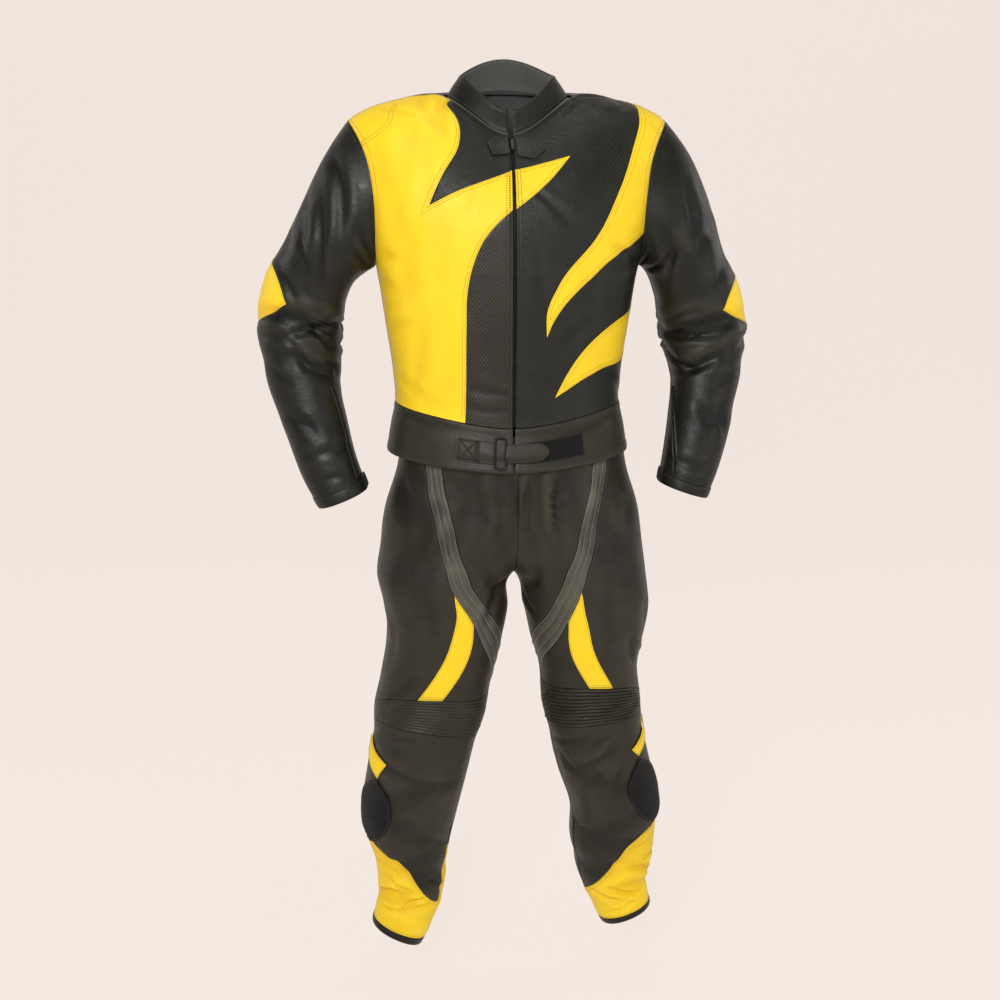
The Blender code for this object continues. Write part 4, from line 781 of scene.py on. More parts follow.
def offset(points, amount, closed=True):
    """A line moved sideways: for a closed outline, inwards."""
    if closed:
        before, after = points - np.roll(points, 1, axis=0), np.roll(points, -1, axis=0) - points
        area = np.sum(points[:, 0] * np.roll(points[:, 1], -1) - np.roll(points[:, 0], -1) * points[:, 1])
    else:
        step = np.diff(points, axis=0)
        before, after = np.concatenate([step[:1], step]), np.concatenate([step, step[-1:]])
        area = 1
    turn_left = np.array([[0, 1], [-1, 0]]) * np.sign(area)
    n1 = before / np.linalg.norm(before, axis=1, keepdims=True) @ turn_left
    n2 = after / np.linalg.norm(after, axis=1, keepdims=True) @ turn_left
    mitre = (n1 + n2) / np.maximum(1 + np.sum(n1 * n2, axis=1, keepdims=True), 0.25)
    return points + mitre * amount


print("panel grid", SPACING * 1000, "mm")


# %% Laying a panel on its form
MADE = {}
OUTLINE = {}
SHARP_EDGE = math.radians(38)
RIM = 0.0006       # the bevel of a cut edge
SHORT = 0.0018     # edges under this are closed, because they would crumple when bent
FOLD_SPAN = 0.005  # the height of a fold that counts as 1 for the material


def finish_piece(name, bm, materials, nodes, body_name="suit"):
    """Turn a bmesh into a piece of the suit that rides on its body and stands for its nodes."""
    mesh = bpy.data.meshes.new(name)
    bm.to_mesh(mesh)
    bm.free()
    for made in materials:
        mesh.materials.append(made)
    for polygon in mesh.polygons:
        polygon.use_smooth = True
    mesh.set_sharp_from_angle(angle=SHARP_EDGE)
    obj = add_object(name + "_panel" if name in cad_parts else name, mesh)
    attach(obj, body_name)
    if nodes:
        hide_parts(*nodes)
    MADE[name] = obj
    return obj


def point_out(bm):
    """Turn the faces of a closed shape outwards."""
    bmesh.ops.recalc_face_normals(bm, faces=bm.faces[:])
    if bm.calc_volume(signed=True) < 0:
        bmesh.ops.reverse_faces(bm, faces=bm.faces[:])


def bend(bm, form, scale, thickness, base, relief=None, lift=None, rim=RIM):
    """Give a flat piece its wall, lay it on its form and round its outer rim."""
    fold = bm.verts.layers.float.new("fold")
    uv = bm.loops.layers.uv.new("pattern")
    share = bm.verts.layers.float.get("share")
    bmesh.ops.triangulate(bm, faces=[f for f in bm.faces if len(f.verts) > 4])
    result = bmesh.ops.extrude_face_region(bm, geom=bm.faces[:])
    raised = [v for v in result["geom"] if isinstance(v, bmesh.types.BMVert)]
    bmesh.ops.translate(bm, verts=raised, vec=(0, 0, 1))
    bm.verts.ensure_lookup_table()
    flat = np.array([v.co[:] for v in bm.verts])
    angle, along, outer = flat[:, 0] / scale, flat[:, 1], flat[:, 2]
    across = np.array([v[share] for v in bm.verts]) if share is not None else None
    height = base - thickness * (1 - outer)
    if relief is not None:
        height = height + relief(angle, along, across) * outer
    if lift is not None:
        height = height + lift(across)
    # the fold attribute carries the folds' height for the material's painted shade and painted highlight
    local = np.clip(leather_height(form, angle, along) / FOLD_SPAN, -0.5, 0.5)
    for face in bm.faces:
        for loop in face.loops:
            loop[uv].uv = flat[loop.vert.index, :2]
    place = laid(form, angle, along, height)
    for vert, co, depth in zip(bm.verts, place, local):
        vert.co = co
        vert[fold] = depth
    point_out(bm)
    top = set(raised)
    bottom_faces = [f for f in bm.faces if not any(v in top for v in f.verts)]
    for face in bottom_faces:
        face.material_index = 1
    if rim:
        edges = [e for e in bm.edges if all(v in top for v in e.verts)
                 and any(not all(v in top for v in f.verts) for f in e.link_faces)]
        round_edges(bm, edges, rim, 2, clamp_overlap=True)


def close_short(bm, edges, fixed, dist):
    """Close short edges: a free end moves on to a fixed one, or on to the other free end if it has none."""
    pairs, used = {}, set()
    for edge in sorted(edges, key=lambda e: e.calc_length()):
        free = [v for v in edge.verts if v not in fixed]
        if edge.calc_length() < (dist if len(free) == 1 else dist / 3) and free and free[0] not in used:
            target = edge.other_vert(free[0])
            if target not in pairs:
                pairs[free[0]] = target
                used.update((free[0], target) if target not in fixed else (free[0],))
    bmesh.ops.weld_verts(bm, targetmap=pairs)


def cut_panel(name, kind, form, *lines, thickness=LEATHER, base=0.0, step=GRID, relief=None,
              inner="lining", extra=()):
    """A panel inside lines of (angle, along) points; extra are angles that get a cut of their own."""
    scale = girth_of(form) / 360
    OUTLINE[name] = joined(*lines) * [scale, 1.0]
    points = offset(OUTLINE[name], SEAM_GAP / 2)
    bm = bmesh.new()
    outer = [bm.verts.new((u, v, 0)) for u, v in points]
    bm.faces.new(outer)
    for axis in (0, 1):
        low, high = points[:, axis].min(), points[:, axis].max()
        cuts = [(k + 0.5) * step[axis] for k in range(math.ceil(low / step[axis] - 0.5),
                                                      math.floor(high / step[axis] - 0.5) + 1)]
        if axis == 0 and len(extra):
            own = [a * scale for a in extra if low < a * scale < high]
            cuts = [c for c in cuts if not own or min(abs(c - o) for o in own) > 0.002] + own
        for cut in cuts:
            place, across = [0, 0, 0], [0, 0, 0]
            place[axis] = cut
            across[axis] = 1
            bmesh.ops.bisect_plane(bm, geom=bm.verts[:] + bm.edges[:] + bm.faces[:], plane_co=place,
                                   plane_no=across, dist=1e-6)
    for _ in range(2):
        close_short(bm, [e for e in bm.edges if e.is_boundary], set(outer), SHORT)
    close_short(bm, bm.edges[:], {v for v in bm.verts if v.is_boundary}, SHORT)
    bmesh.ops.delete(bm, geom=[v for v in bm.verts if not v.link_faces], context="VERTS")
    bend(bm, form, scale, thickness, base, relief=relief)
    return finish_piece(name, bm, [MATERIAL[kind], MATERIAL[inner]], [name])


def strip_panel(name, kind, form, first, second, rows, thickness=LEATHER, base=0.0, relief=None,
                lift=None, gap=SEAM_GAP, nodes=None, slot=None, inner="lining", rim=0.0005):
    """A panel between two edges with as many points each, cut across into rows."""
    scale = girth_of(form) / 360
    first, second = np.asarray(first) * [scale, 1.0], np.asarray(second) * [scale, 1.0]
    OUTLINE[name] = np.concatenate([first, second[::-1]])
    outline = offset(OUTLINE[name], gap / 2)
    first, second = outline[:len(first)], outline[len(first):][::-1]
    bm = bmesh.new()
    columns = len(first) - 1
    bmesh.ops.create_grid(bm, x_segments=rows, y_segments=columns, size=0.5)
    share = bm.verts.layers.float.new("share")
    for vert in bm.verts:
        vert[share] = vert.co.x + 0.5
        i = int(round((vert.co.y + 0.5) * columns))
        vert.co.xy = first[i] + (second[i] - first[i]) * vert[share]
    bend(bm, form, scale, thickness, base, relief=relief, lift=lift, rim=rim)
    return finish_piece(name, bm, [MATERIAL[kind], MATERIAL[inner]], nodes if nodes is not None else [name])


def ring_strip(name, kind, form, low, high, rows, start, end, columns, **settings):
    """A band between two distances along a form, from one angle to another."""
    angles = np.linspace(start, end, columns + 1)
    first = np.stack([angles, np.full(columns + 1, low)], -1)
    second = np.stack([angles, np.full(columns + 1, high)], -1)
    return strip_panel(name, kind, form, first, second, rows, **settings)


print("panel makers ready")

# %% [markdown]
# ## The jacket's fronts
# The right front is mostly one yellow panel that sweeps to a point on the chest and crosses the
# zip. The left front is black with two yellow sweeps that narrow towards the belly. The black
# leather next to the zip is perforated to let air in. The seam lines are smooth curves through a
# few rows, because a cutter's knife and a sewing machine both prefer long, easy curves.

# %% Fronts
ZIP_EDGE = 1.2
NECKLINE = 0.592
SIDE, UNDERARM = 90, 0.217
FLASH_FOOT = -32.8
SHOULDER_BREAK = 0.512
SLASH_MEETS_ARMHOLE = -30.6
SHOULDER_OUT = {s: smooth((SIGN[s] * 90, 0.433), (SIGN[s] * 90, SHOULDER_BREAK)) for s in SIGN}
SHOULDER_IN = {s: smooth((SIGN[s] * 90, SHOULDER_BREAK), (SIGN[s] * 84, 0.555), (SIGN[s] * 76, NECKLINE))
               for s in SIGN}
FLASH_ABOVE = smooth((-47, 0.321), (-35, 0.347), (-23, 0.366), (-ZIP_EDGE, 0.394))
FLASH_BELOW = smooth((-ZIP_EDGE, 0.317), (-10, 0.295), (-17.7, 0.270), (-25, 0.226), (-28.4, 0.184),
                     (-29.6, 0.133), (FLASH_FOOT, 0.0))
FLASH_TIP = smooth((ZIP_EDGE, 0.396), (20, 0.401), (40, 0.403))
FLASH_TIP_BELOW = smooth((40, 0.403), (24, 0.367), (9.5, 0.335), (ZIP_EDGE, 0.318))
THROAT = smooth((-68, NECKLINE), (-62, 0.560), (-49, 0.515), (-41, 0.450), (-39.7, 0.413), (-43, 0.375),
                (-47, 0.321))
SLASH_INNER = smooth((90, SHOULDER_BREAK), (77, 0.465), (68, 0.411), (58, 0.345), (45, 0.264), (27, 0.196),
                     (20.5, 0.155), (20.9, 0.121))
SLASH_OUTER = smooth((20.9, 0.121), (24.5, 0.142), (32, 0.170), (43.6, 0.202), (54, 0.232),
                     (64, 0.252), (73.6, 0.270))
CLAW_ABOVE = smooth((27.9, 0.036), (34.8, 0.067), (41.5, 0.092), (50, 0.115), (62, 0.136), (75, 0.148),
                    (SIDE, 0.168))
CLAW_BELOW = smooth((SIDE, 0.078), (75, 0.070), (58.9, 0.067), (46, 0.057), (36, 0.045), (27.9, 0.036))
G = GIRTH["body"]
ZIP_CUTS = [side * a for side in (-1, 1) for a in (1.7, 2.3, 2.9, 3.6, 4.6, 5.2)]


# height of the roll beside the zip and of the dips under its two stitch rows, in metres; angle and width in degrees
ZIP_WAVES = [(0.0009, 2.0, 0.5), (-0.0004, 2.9, 0.35), (-0.0003, 4.9, 0.4)]
NECK_TURN = dict(depth=0.0010, width=0.006)


def zip_roll(angle, along, across):
    """The leather is turned under at the zip, with a dip under each stitch row, and at the collar."""
    height = sum(size * np.exp(-((np.abs(angle) - middle) / wide) ** 2) for size, middle, wide in ZIP_WAVES)
    return height - NECK_TURN["depth"] * eased((along - NECKLINE) / NECK_TURN["width"] + 1)


FRONT = dict(relief=zip_roll, extra=ZIP_CUTS)
cut_panel("front_right_yellow", "yellow", body,
          THROAT, FLASH_ABOVE, FLASH_BELOW, straight((FLASH_FOOT, 0.0), (-SIDE, 0.0), (-SIDE, UNDERARM)),
          armhole_line("right", -90, 90), SHOULDER_OUT["right"], SHOULDER_IN["right"],
          straight((-76, NECKLINE), (-68, NECKLINE)), **FRONT)
cut_panel("front_right_upper", "perforated", body,
          THROAT[::-1], straight((-68, NECKLINE), (-ZIP_EDGE, NECKLINE), (-ZIP_EDGE, 0.394)),
          FLASH_ABOVE[::-1], **FRONT)
cut_panel("front_right_lower", "perforated_painted_highlight", body,
          FLASH_BELOW, straight((FLASH_FOOT, 0.0), (-ZIP_EDGE, 0.0), (-ZIP_EDGE, 0.317)), **FRONT)
cut_panel("front_left_flash", "yellow", body, FLASH_TIP, FLASH_TIP_BELOW, **FRONT)
cut_panel("front_left_slash", "yellow", body,
          SLASH_INNER, SLASH_OUTER, armhole_line("left", SLASH_MEETS_ARMHOLE, 90), SHOULDER_OUT["left"])
cut_panel("front_left_claw", "yellow", body,
          CLAW_ABOVE, straight((SIDE, 0.168), (SIDE, 0.078)), CLAW_BELOW)
cut_panel("front_left_black", "perforated", body,
          SHOULDER_IN["left"], straight((76, NECKLINE), (ZIP_EDGE, NECKLINE), (ZIP_EDGE, 0.396)),
          FLASH_TIP, FLASH_TIP_BELOW,
          straight((ZIP_EDGE, 0.318), (ZIP_EDGE, 0.0), (SIDE, 0.0), (SIDE, 0.078)),
          CLAW_BELOW, CLAW_ABOVE, straight((SIDE, 0.168), (SIDE, UNDERARM)),
          armhole_line("left", -90, SLASH_MEETS_ARMHOLE), SLASH_OUTER[::-1], SLASH_INNER[::-1], **FRONT)
print("fronts:", {n: len(o.data.polygons) for n, o in MADE.items()})

# %% [markdown]
# ## The back
# A race jacket's back is two black panels: a yoke over the shoulder blades and one large piece
# below it. The yoke seam takes up the curve of the shoulders, so that the broad piece can be cut
# from one hide and still lies flat.

# %% Back
yoke_end, yoke_along = armhole(180)
YOKE_SEAM = smooth((yoke_end, yoke_along), (180, yoke_along - 0.012), (360 - yoke_end, yoke_along))
full_turn = [360, 0]
cut_panel("back_yoke", "black", body,
          YOKE_SEAM, armhole_line("right", 180, 90, 360), SHOULDER_OUT["right"] + full_turn,
          SHOULDER_IN["right"] + full_turn, straight((284, NECKLINE), (76, NECKLINE)),
          SHOULDER_IN["left"][::-1], SHOULDER_OUT["left"][::-1], armhole_line("left", 90, 180))
cut_panel("back_lower", "black", body,
          straight((SIDE, 0.0), (270, 0.0), (270, UNDERARM)),
          armhole_line("right", 270, 180, 360), YOKE_SEAM[::-1], armhole_line("left", 180, 270),
          straight((SIDE, UNDERARM), (SIDE, 0.0)))
print("yoke seam at", round(float(yoke_along), 3), "m above the waist seam")

# %% [markdown]
# ## Collar and neck tabs
# The stand collar is 50 mm of leather over a knitted lining that runs down inside the neck. It is a
# plain band, so a grid between two edges suits it better than a cut outline. A tab on each side of
# the zip's top keeps the slider off the throat.

# %% Collar
COLLAR_HEIGHT = 0.050
COLLAR_FOOT = -0.0012     # the seam allowance reaches down past the neckline
LINING_FOOT = -0.024
TURN_IN = 0.004
COLLAR_ARC = (3.5, 356.5)
COLLAR_COLUMNS = 90


def collar_roll(angle, along, across):
    """The collar's top edge is rolled, and its foot is pinched where it is sewn on."""
    return 0.0010 * np.exp(-((across - 0.93) / 0.08) ** 2) - 0.0008 * np.exp(-(across / 0.05) ** 2)


def lining_lift(across):
    """The lining stands a little off the leather below the neckline."""
    return -TURN_IN * np.clip((0.4 - across) / 0.3, 0, 1)


ring_strip("collar", "black", collar, COLLAR_FOOT, COLLAR_HEIGHT, 12, *COLLAR_ARC, COLLAR_COLUMNS,
           relief=collar_roll)
ring_strip("collar_lining", "lining", neck_lining, LINING_FOOT, COLLAR_HEIGHT - 0.003, 12, *COLLAR_ARC,
           COLLAR_COLUMNS, thickness=0.0012, base=-LEATHER - 0.0007, lift=lining_lift)
TAB_RIGHT = straight((-4, 0.528), (-16, 0.533), (-23, 0.460), (-17, 0.422), (-2.5, 0.436), (-4, 0.528),
                     spacing=0.005)
TAB_LEFT = straight((4, 0.535), (14, 0.515), (27, 0.428), (18, 0.412), (4, 0.428), (4, 0.535), spacing=0.005)
for name, outline in (("neck_tab_right", TAB_RIGHT), ("neck_tab_left", TAB_LEFT)):
    cut_panel(name, "black", body, outline, base=LEATHER + 0.0011, step=(0.004, 0.004))
print("collar:", len(MADE["collar"].data.polygons), "faces")

# %% [markdown]
# ## Waistband and belt
# The jacket ends in a band 80 mm deep, and on it the belt: a stitched patch that holds the ring,
# a padded tongue that passes through the ring, and the strip it grips.

# %% Waistband and belt
BELT_MIDDLE = -0.044
BAND_TOP, BAND_END = -0.0008, -0.080


def band_edge(angle, along, across):
    """A roll along both edges of the waistband."""
    return 0.0008 * (np.exp(-((across - 0.06) / 0.05) ** 2) + np.exp(-((across - 0.94) / 0.05) ** 2))


ring_strip("jacket_waistband", "brown", body, BAND_END, BAND_TOP, 18, 0.8, 359.2, 200, relief=band_edge,
           slot="black_leather")
BELT = dict(
    name=     ["belt_patch", "belt_hook_strip", "belt_tongue"],
    kind=     ["brown",      "hook",            "brown"],
    slot=     ["black_leather", "hook_loop",    "black_leather"],
    start=    [-36,          9,                 -5.8],
    end=      [-13.2,        44,                22.5],
    half=     [0.020,        0.019,             0.017],
    thickness=[0.003,        0.0015,            0.003],
    base=     [0.0037,       0.0022,            0.0059],
    rounded=  [False,        False,             True],
)


def pillow(angle, along, across):
    """Straps are a little thicker in the middle than at their stitched edges."""
    return 0.0009 * (1 - (2 * across - 1) ** 4)


BOX = [(-35.0, -0.0275), (-25.0, -0.0275), (-25.0, -0.0605), (-35.0, -0.0605), (-35.0, -0.0275)]
BOX_LINES = list(zip(BOX, BOX[1:])) + [(BOX[0], BOX[2]), (BOX[1], BOX[3]), ((-23.4, -0.024), (-23.4, -0.064))]


BOX_DIP = dict(depth=0.0011, width=0.0013)


def sewn_box(angle, along, across):
    """The sewing pulls the patch down along a box and its cross, and the leather puffs up between."""
    height = pillow(angle, along, across)
    scale = G / 360
    for (a0, v0), (a1, v1) in BOX_LINES:
        x, y, dx, dy = (angle - a0) * scale, along - v0, (a1 - a0) * scale, v1 - v0
        t = np.clip((x * dx + y * dy) / (dx * dx + dy * dy), 0, 1)
        gone = np.hypot(x - t * dx, y - t * dy) / BOX_DIP["width"]
        height = height - BOX_DIP["depth"] * np.exp(-gone ** 2)
    return height


for name, kind, slot, start, end, half, thickness, base, rounded in zip(*BELT.values()):
    fine = name == "belt_patch"
    columns = 56 if fine else max(12, int((end - start) * 0.6))
    t = np.linspace(0, 1, columns + 1)
    half_width = half * (np.sqrt(np.clip(1 - t ** 8, 0.05, 1)) if rounded else np.ones(len(t)))
    angles = start + (end - start) * t
    strip_panel(name, kind, body, np.stack([angles, BELT_MIDDLE - half_width], -1),
                np.stack([angles, BELT_MIDDLE + half_width], -1), 34 if fine else 10, thickness=thickness,
                base=base, relief=sewn_box if fine else pillow if kind == "brown" else None, inner=kind, slot=slot)
print("belt:", BELT["name"])

# %% [markdown]
# ## Sleeves
# Each sleeve has an upper part, a pointed yellow elbow insert, a forearm and a turned cuff band with
# a small tab. The sleeve's tube is opened along its under seam and laid flat to be cut.

# %% Sleeves
ELBOW_SEAM = 0.225
CUFF_TOP, CUFF_END = 0.540, 0.560
SLEEVE_START = -0.0016   # the seam allowance reaches in past the armhole and closes the seam to the light
GS = GIRTH["sleeve"]
ELBOW_ABOVE = smooth((22, 0.225), (36, 0.209), (52, 0.198), (90, 0.190), (130, 0.200), (158, 0.228), girth=GS)
ELBOW_BELOW = smooth((22, 0.225), (36, 0.240), (52, 0.252), (90, 0.270), (125, 0.262), (158, 0.228), girth=GS)
inner_front = smooth((-90, ELBOW_SEAM), (22, 0.225), girth=GS)
inner_back = smooth((158, 0.228), (270, ELBOW_SEAM), girth=GS)


def sleeve_half(name, side, elbow, end):
    """The part of a sleeve between the elbow's seam and one of its ends, as one wrapped panel."""
    corners = straight((270, ELBOW_SEAM), (270, end), (-90, end), (-90, ELBOW_SEAM), girth=GS)
    cut_panel(name + side, "black", SLEEVE_FORM[side], inner_front, elbow, inner_back, corners)


for side in SIGN:
    form = SLEEVE_FORM[side]
    sleeve_half("sleeve_upper_", side, ELBOW_ABOVE, SLEEVE_START)
    cut_panel("sleeve_elbow_" + side, "yellow", form, ELBOW_ABOVE, ELBOW_BELOW[::-1])
    sleeve_half("sleeve_forearm_", side, ELBOW_BELOW, CUFF_TOP)
    ring_strip("cuff_band_" + side, "black", form, CUFF_TOP, CUFF_END, 5, -75, 285, 70, thickness=0.003,
               base=0.0008, relief=pillow)
    ring_strip("cuff_tab_" + side, "hook", form, 0.533, 0.556, 5, -88, -62, 8, thickness=0.002,
               base=0.003 + 0.0007, relief=pillow, inner="hook")
print("sleeve panels:", sum(n.startswith("sleeve") for n in MADE))

# %% [markdown]
# ## Trousers
# The trousers' front is split by a grey ribbed stretch strip that runs from the hip to the inside
# seam; yellow flashes hang from it. The knee has an accordion of tight ribs, so that the leg bends
# without pulling. Below it come the padded shin, a hook-and-loop patch for a knee slider, and a
# yellow gaiter that bunches over the boot.

# %% Trouser lines
KNEE_SEAM, OUTSEAM, CALF_SEAM, CALF_TOP = 0.500, 92, 0.700, 0.668
HEM_TOP, HEM_END = 0.873, 0.885
GL = GIRTH["leg"]
INSEAM_ROWS = np.array([(-90, 0.243), (-85, 0.350), (-80, 0.440), (-78, KNEE_SEAM), (-76, 0.600), (-74, 0.712)])


def smooth_leg(rows, spacing=SPACING):
    """A smooth line on a leg."""
    return smooth(*rows, spacing=spacing, girth=GL)


def leg_line(*rows):
    """Straight stretches on a leg."""
    return straight(*rows, girth=GL)


def inseam(low, high):
    """The seam down the inside of the leg between two distances along it."""
    along = np.linspace(low, high, max(2, int(round(abs(high - low) / SPACING)) + 1))
    return np.stack([np.interp(along, INSEAM_ROWS[:, 1], INSEAM_ROWS[:, 0]), along], -1)


STRIP_TO_FLASH = smooth_leg([(66, 0.0), (60, 0.050), (55.5, 0.083), (49.5, 0.112), (38.5, 0.150),
                             (20.8, 0.196), (4, 0.2285), (-7.5, 0.257)])
STRIP_BY_FLASH = smooth_leg([(-7.5, 0.257), (-15.3, 0.284), (-23, 0.309)])
STRIP_TO_INSEAM = smooth_leg([(-23, 0.309), (-36, 0.348), (-58, 0.388), (-80.8, 0.425)])
STRIP_INNER = smooth_leg([(56, 0.0), (49.6, 0.052), (45.8, 0.080), (37.5, 0.113), (25, 0.152),
                          (6.8, 0.1935), (-14, 0.229), (-29.4, 0.264), (-42, 0.298), (-60, 0.328),
                          (-84.3, 0.362)], SPACING / 20)
OUTER_EDGE = joined(STRIP_TO_FLASH, STRIP_BY_FLASH, STRIP_TO_INSEAM)
INNER_EDGE = STRIP_INNER[np.linspace(0, len(STRIP_INNER) - 1, len(OUTER_EDGE)).round().astype(int)]
THIGH_OUTER = smooth_leg([(-7.5, 0.257), (-7.2, 0.285), (-4, 0.325), (1, 0.367), (9, 0.405), (20, 0.441)])
THIGH_INNER = smooth_leg([(-23, 0.309), (-24, 0.348), (-20, 0.389), (-14, 0.415), (-6.5, 0.438)])
KNEE_TOP_ROWS = [(-80, 0.440), (-54, 0.441), (-30, 0.439), (-6.5, 0.438), (20, 0.441), (44, 0.447),
                 (68, 0.458), (OUTSEAM, 0.476)]
KNEE_BOTTOM_ROWS = [(-78, KNEE_SEAM), (-54, 0.503), (-30, 0.501), (-6.5, 0.498), (20, 0.496), (44, 0.495),
                    (68, 0.496), (OUTSEAM, KNEE_SEAM)]
GAITER_TOP = {
    "right": smooth_leg([(-74, 0.712), (-66, 0.735), (-60, 0.775), (-54, 0.808), (-38, 0.806), (-22, 0.796),
                         (0, 0.772), (15, 0.748), (40, 0.730), (58, 0.714), (78, 0.690), (OUTSEAM, CALF_TOP)]),
    "left": smooth_leg([(-74, 0.812), (-60, 0.806), (-41, 0.795), (-22, 0.779), (0, 0.752), (15, 0.728),
                        (40, 0.710), (58, 0.696), (78, 0.680), (OUTSEAM, CALF_TOP)]),
}
HOOK_PATCH = smooth_leg([(51, 0.594), (33, 0.622), (26, 0.655), (35, 0.690), (58, 0.712), (80, 0.700),
                         (90, 0.660), (82, 0.625), (66, 0.604), (51, 0.594)])
PATCH_SHIFT = {"right": (0, 0.0), "left": (-9, -0.026)}
KNEE_BIT = {
    "right": leg_line((43, 0.562), (66, 0.548), (OUTSEAM - 3, 0.528), (OUTSEAM - 3, 0.556), (70, 0.576),
                      (51, 0.590), (43, 0.562)),
    "left": leg_line((34, 0.548), (57, 0.532), (OUTSEAM - 3, 0.510), (OUTSEAM - 3, 0.530), (61, 0.549),
                     (42, 0.562), (34, 0.548)),
}
print("strip", len(STRIP_TO_FLASH), "points to the flash")


def rise(side, back=False):
    """The line where one leg meets the other at the middle of the body, from the waist to the crotch."""
    fine = np.linspace(0, 0.26, 2001)
    r = between_rows(LEG[side], fine)
    crotch = fine[np.argmax(r["x"] >= r["half_width"])]
    along = np.concatenate([np.linspace(0, 0.17, 26)[:-1], np.linspace(0.17, crotch, 30)])
    r = between_rows(LEG[side], along)
    depth = r["half_back"] if back else r["half_front"]
    share = np.clip(r["x"] / r["half_width"], 0, 1)
    y = depth * (1 - share ** LEG_SQUARENESS) ** (1 / LEG_SQUARENESS)
    angle = -np.degrees(np.arctan2(r["x"], y))
    return np.stack([180 - angle if back else angle, along], -1)


def part_of(line, low, high):
    """The stretch of a line of points between two angles."""
    return line[(line[:, 0] > low + 0.3) & (line[:, 0] < high - 0.3)]


# %% Trouser panels
RIBS = 11


def strip_ribs(angle, along, across):
    """Three soft lengthwise ribs with a stitched channel between them."""
    return 0.0016 * np.sin(np.pi * 3 * across) ** 2


TONGUE = {   # where the ribs stop towards the outside of the leg, from the panel's top edge to its bottom
    "right": ([0.0, 0.15, 0.35, 0.6, 0.85, 1.0], [30, 42, 53, 61, 66, 62]),
    "left": ([0.0, 0.15, 0.35, 0.6, 0.85, 1.0], [46, 58, 64, 63, 52, 30]),
}
RIB_HEIGHT = {"right": 0.0010, "left": 0.0026}


def accordion(side):
    """Tight ribs across the knee that stop at a rounded line on its outside."""
    def relief(angle, along, across):
        fade = 1 / (1 + np.exp((angle - np.interp(across, *TONGUE[side])) / 1.2))
        ripple = 1 + 0.22 * np.sin(angle * 0.13 + across * 11) + 0.12 * np.sin(angle * 0.41 - across * 23)
        return RIB_HEIGHT[side] * fade * ripple * np.abs(np.sin(np.pi * RIBS * across)) ** 0.8
    return relief


for side in SIGN:
    form = LEG_FORM[side]
    front_rise, back_rise = rise(side), rise(side, back=True)
    crotch = front_rise[-1]
    gaiter_top = GAITER_TOP[side]
    start = gaiter_top[0][1]
    knee_top, knee_bottom = [np.stack([a, np.interp(a, *np.array(rows).T)], -1) for rows, a in
                             ((KNEE_TOP_ROWS, np.linspace(-80, OUTSEAM, 64)),
                              (KNEE_BOTTOM_ROWS, np.linspace(-78, OUTSEAM, 64)))]
    cut_panel("leg_pelvis_" + side, "brown", form, front_rise, inseam(crotch[1], 0.362),
              INNER_EDGE[::-1], leg_line((56, 0.0), (front_rise[0][0], 0.0)))
    strip_panel("leg_stretch_" + side, "grey", form, INNER_EDGE, OUTER_EDGE, 18, relief=strip_ribs, gap=0.0012)
    cut_panel("leg_thigh_" + side, "brown", form, STRIP_TO_FLASH, THIGH_OUTER,
              part_of(knee_top, 20, OUTSEAM), leg_line((OUTSEAM, 0.476), (OUTSEAM, 0.0), (66, 0.0)))
    cut_panel("leg_flash_" + side, "yellow", form, THIGH_OUTER, leg_line((20, 0.441), (-6.5, 0.438)),
              THIGH_INNER[::-1], STRIP_BY_FLASH[::-1])
    cut_panel("leg_inner_" + side, "brown", form, THIGH_INNER, part_of(knee_top, -80, -6.5)[::-1],
              inseam(0.440, 0.425), STRIP_TO_INSEAM[::-1])
    strip_panel("knee_accordion_" + side, "brown", form, knee_top, knee_bottom, 6 * RIBS,
                relief=accordion(side), gap=0.0012, rim=0)
    cut_panel("leg_shin_" + side, "brown", form, knee_bottom,
              leg_line((OUTSEAM, KNEE_SEAM), (OUTSEAM, CALF_TOP)), gaiter_top[::-1], inseam(start, KNEE_SEAM))
    cut_panel("knee_hook_patch_" + side, "hook", form, HOOK_PATCH[:-1] + PATCH_SHIFT[side], thickness=0.002,
              base=0.002 + 0.0018, inner="hook")
    cut_panel("knee_yellow_" + side, "yellow", form, KNEE_BIT[side], thickness=0.0014, base=0.0014 + 0.0018)
    cut_panel("leg_back_" + side, "brown", form,
              leg_line((OUTSEAM, 0.0), (OUTSEAM, KNEE_SEAM), (282, KNEE_SEAM)),
              (inseam(crotch[1], KNEE_SEAM) + full_turn)[::-1], back_rise[::-1],
              leg_line((back_rise[0][0], 0.0), (OUTSEAM, 0.0)))
    calf_bottom = smooth_leg([(OUTSEAM, CALF_TOP), (135, CALF_SEAM), (180, 0.712), (235, (0.712 + start) / 2),
                              (286, start)])
    cut_panel("leg_calf_" + side, "brown", form, leg_line((OUTSEAM, KNEE_SEAM), (OUTSEAM, CALF_TOP)),
              calf_bottom, (inseam(KNEE_SEAM, start) + full_turn)[::-1],
              leg_line((282, KNEE_SEAM), (OUTSEAM, KNEE_SEAM)))
    cut_panel("leg_gaiter_" + side, "yellow", form, gaiter_top, calf_bottom,
              leg_line((286, start), (286, HEM_TOP), (-74, HEM_TOP), (-74, start)),
              step=(SPACING * 0.8, SPACING * 0.7))
    ring_strip("leg_hem_" + side, "black", form, HEM_TOP, HEM_END, 5, -74, 286, 80, thickness=0.0026,
               base=0.0003, relief=pillow)
print("trouser panels:", sum(n.startswith(("leg", "knee")) for n in MADE))

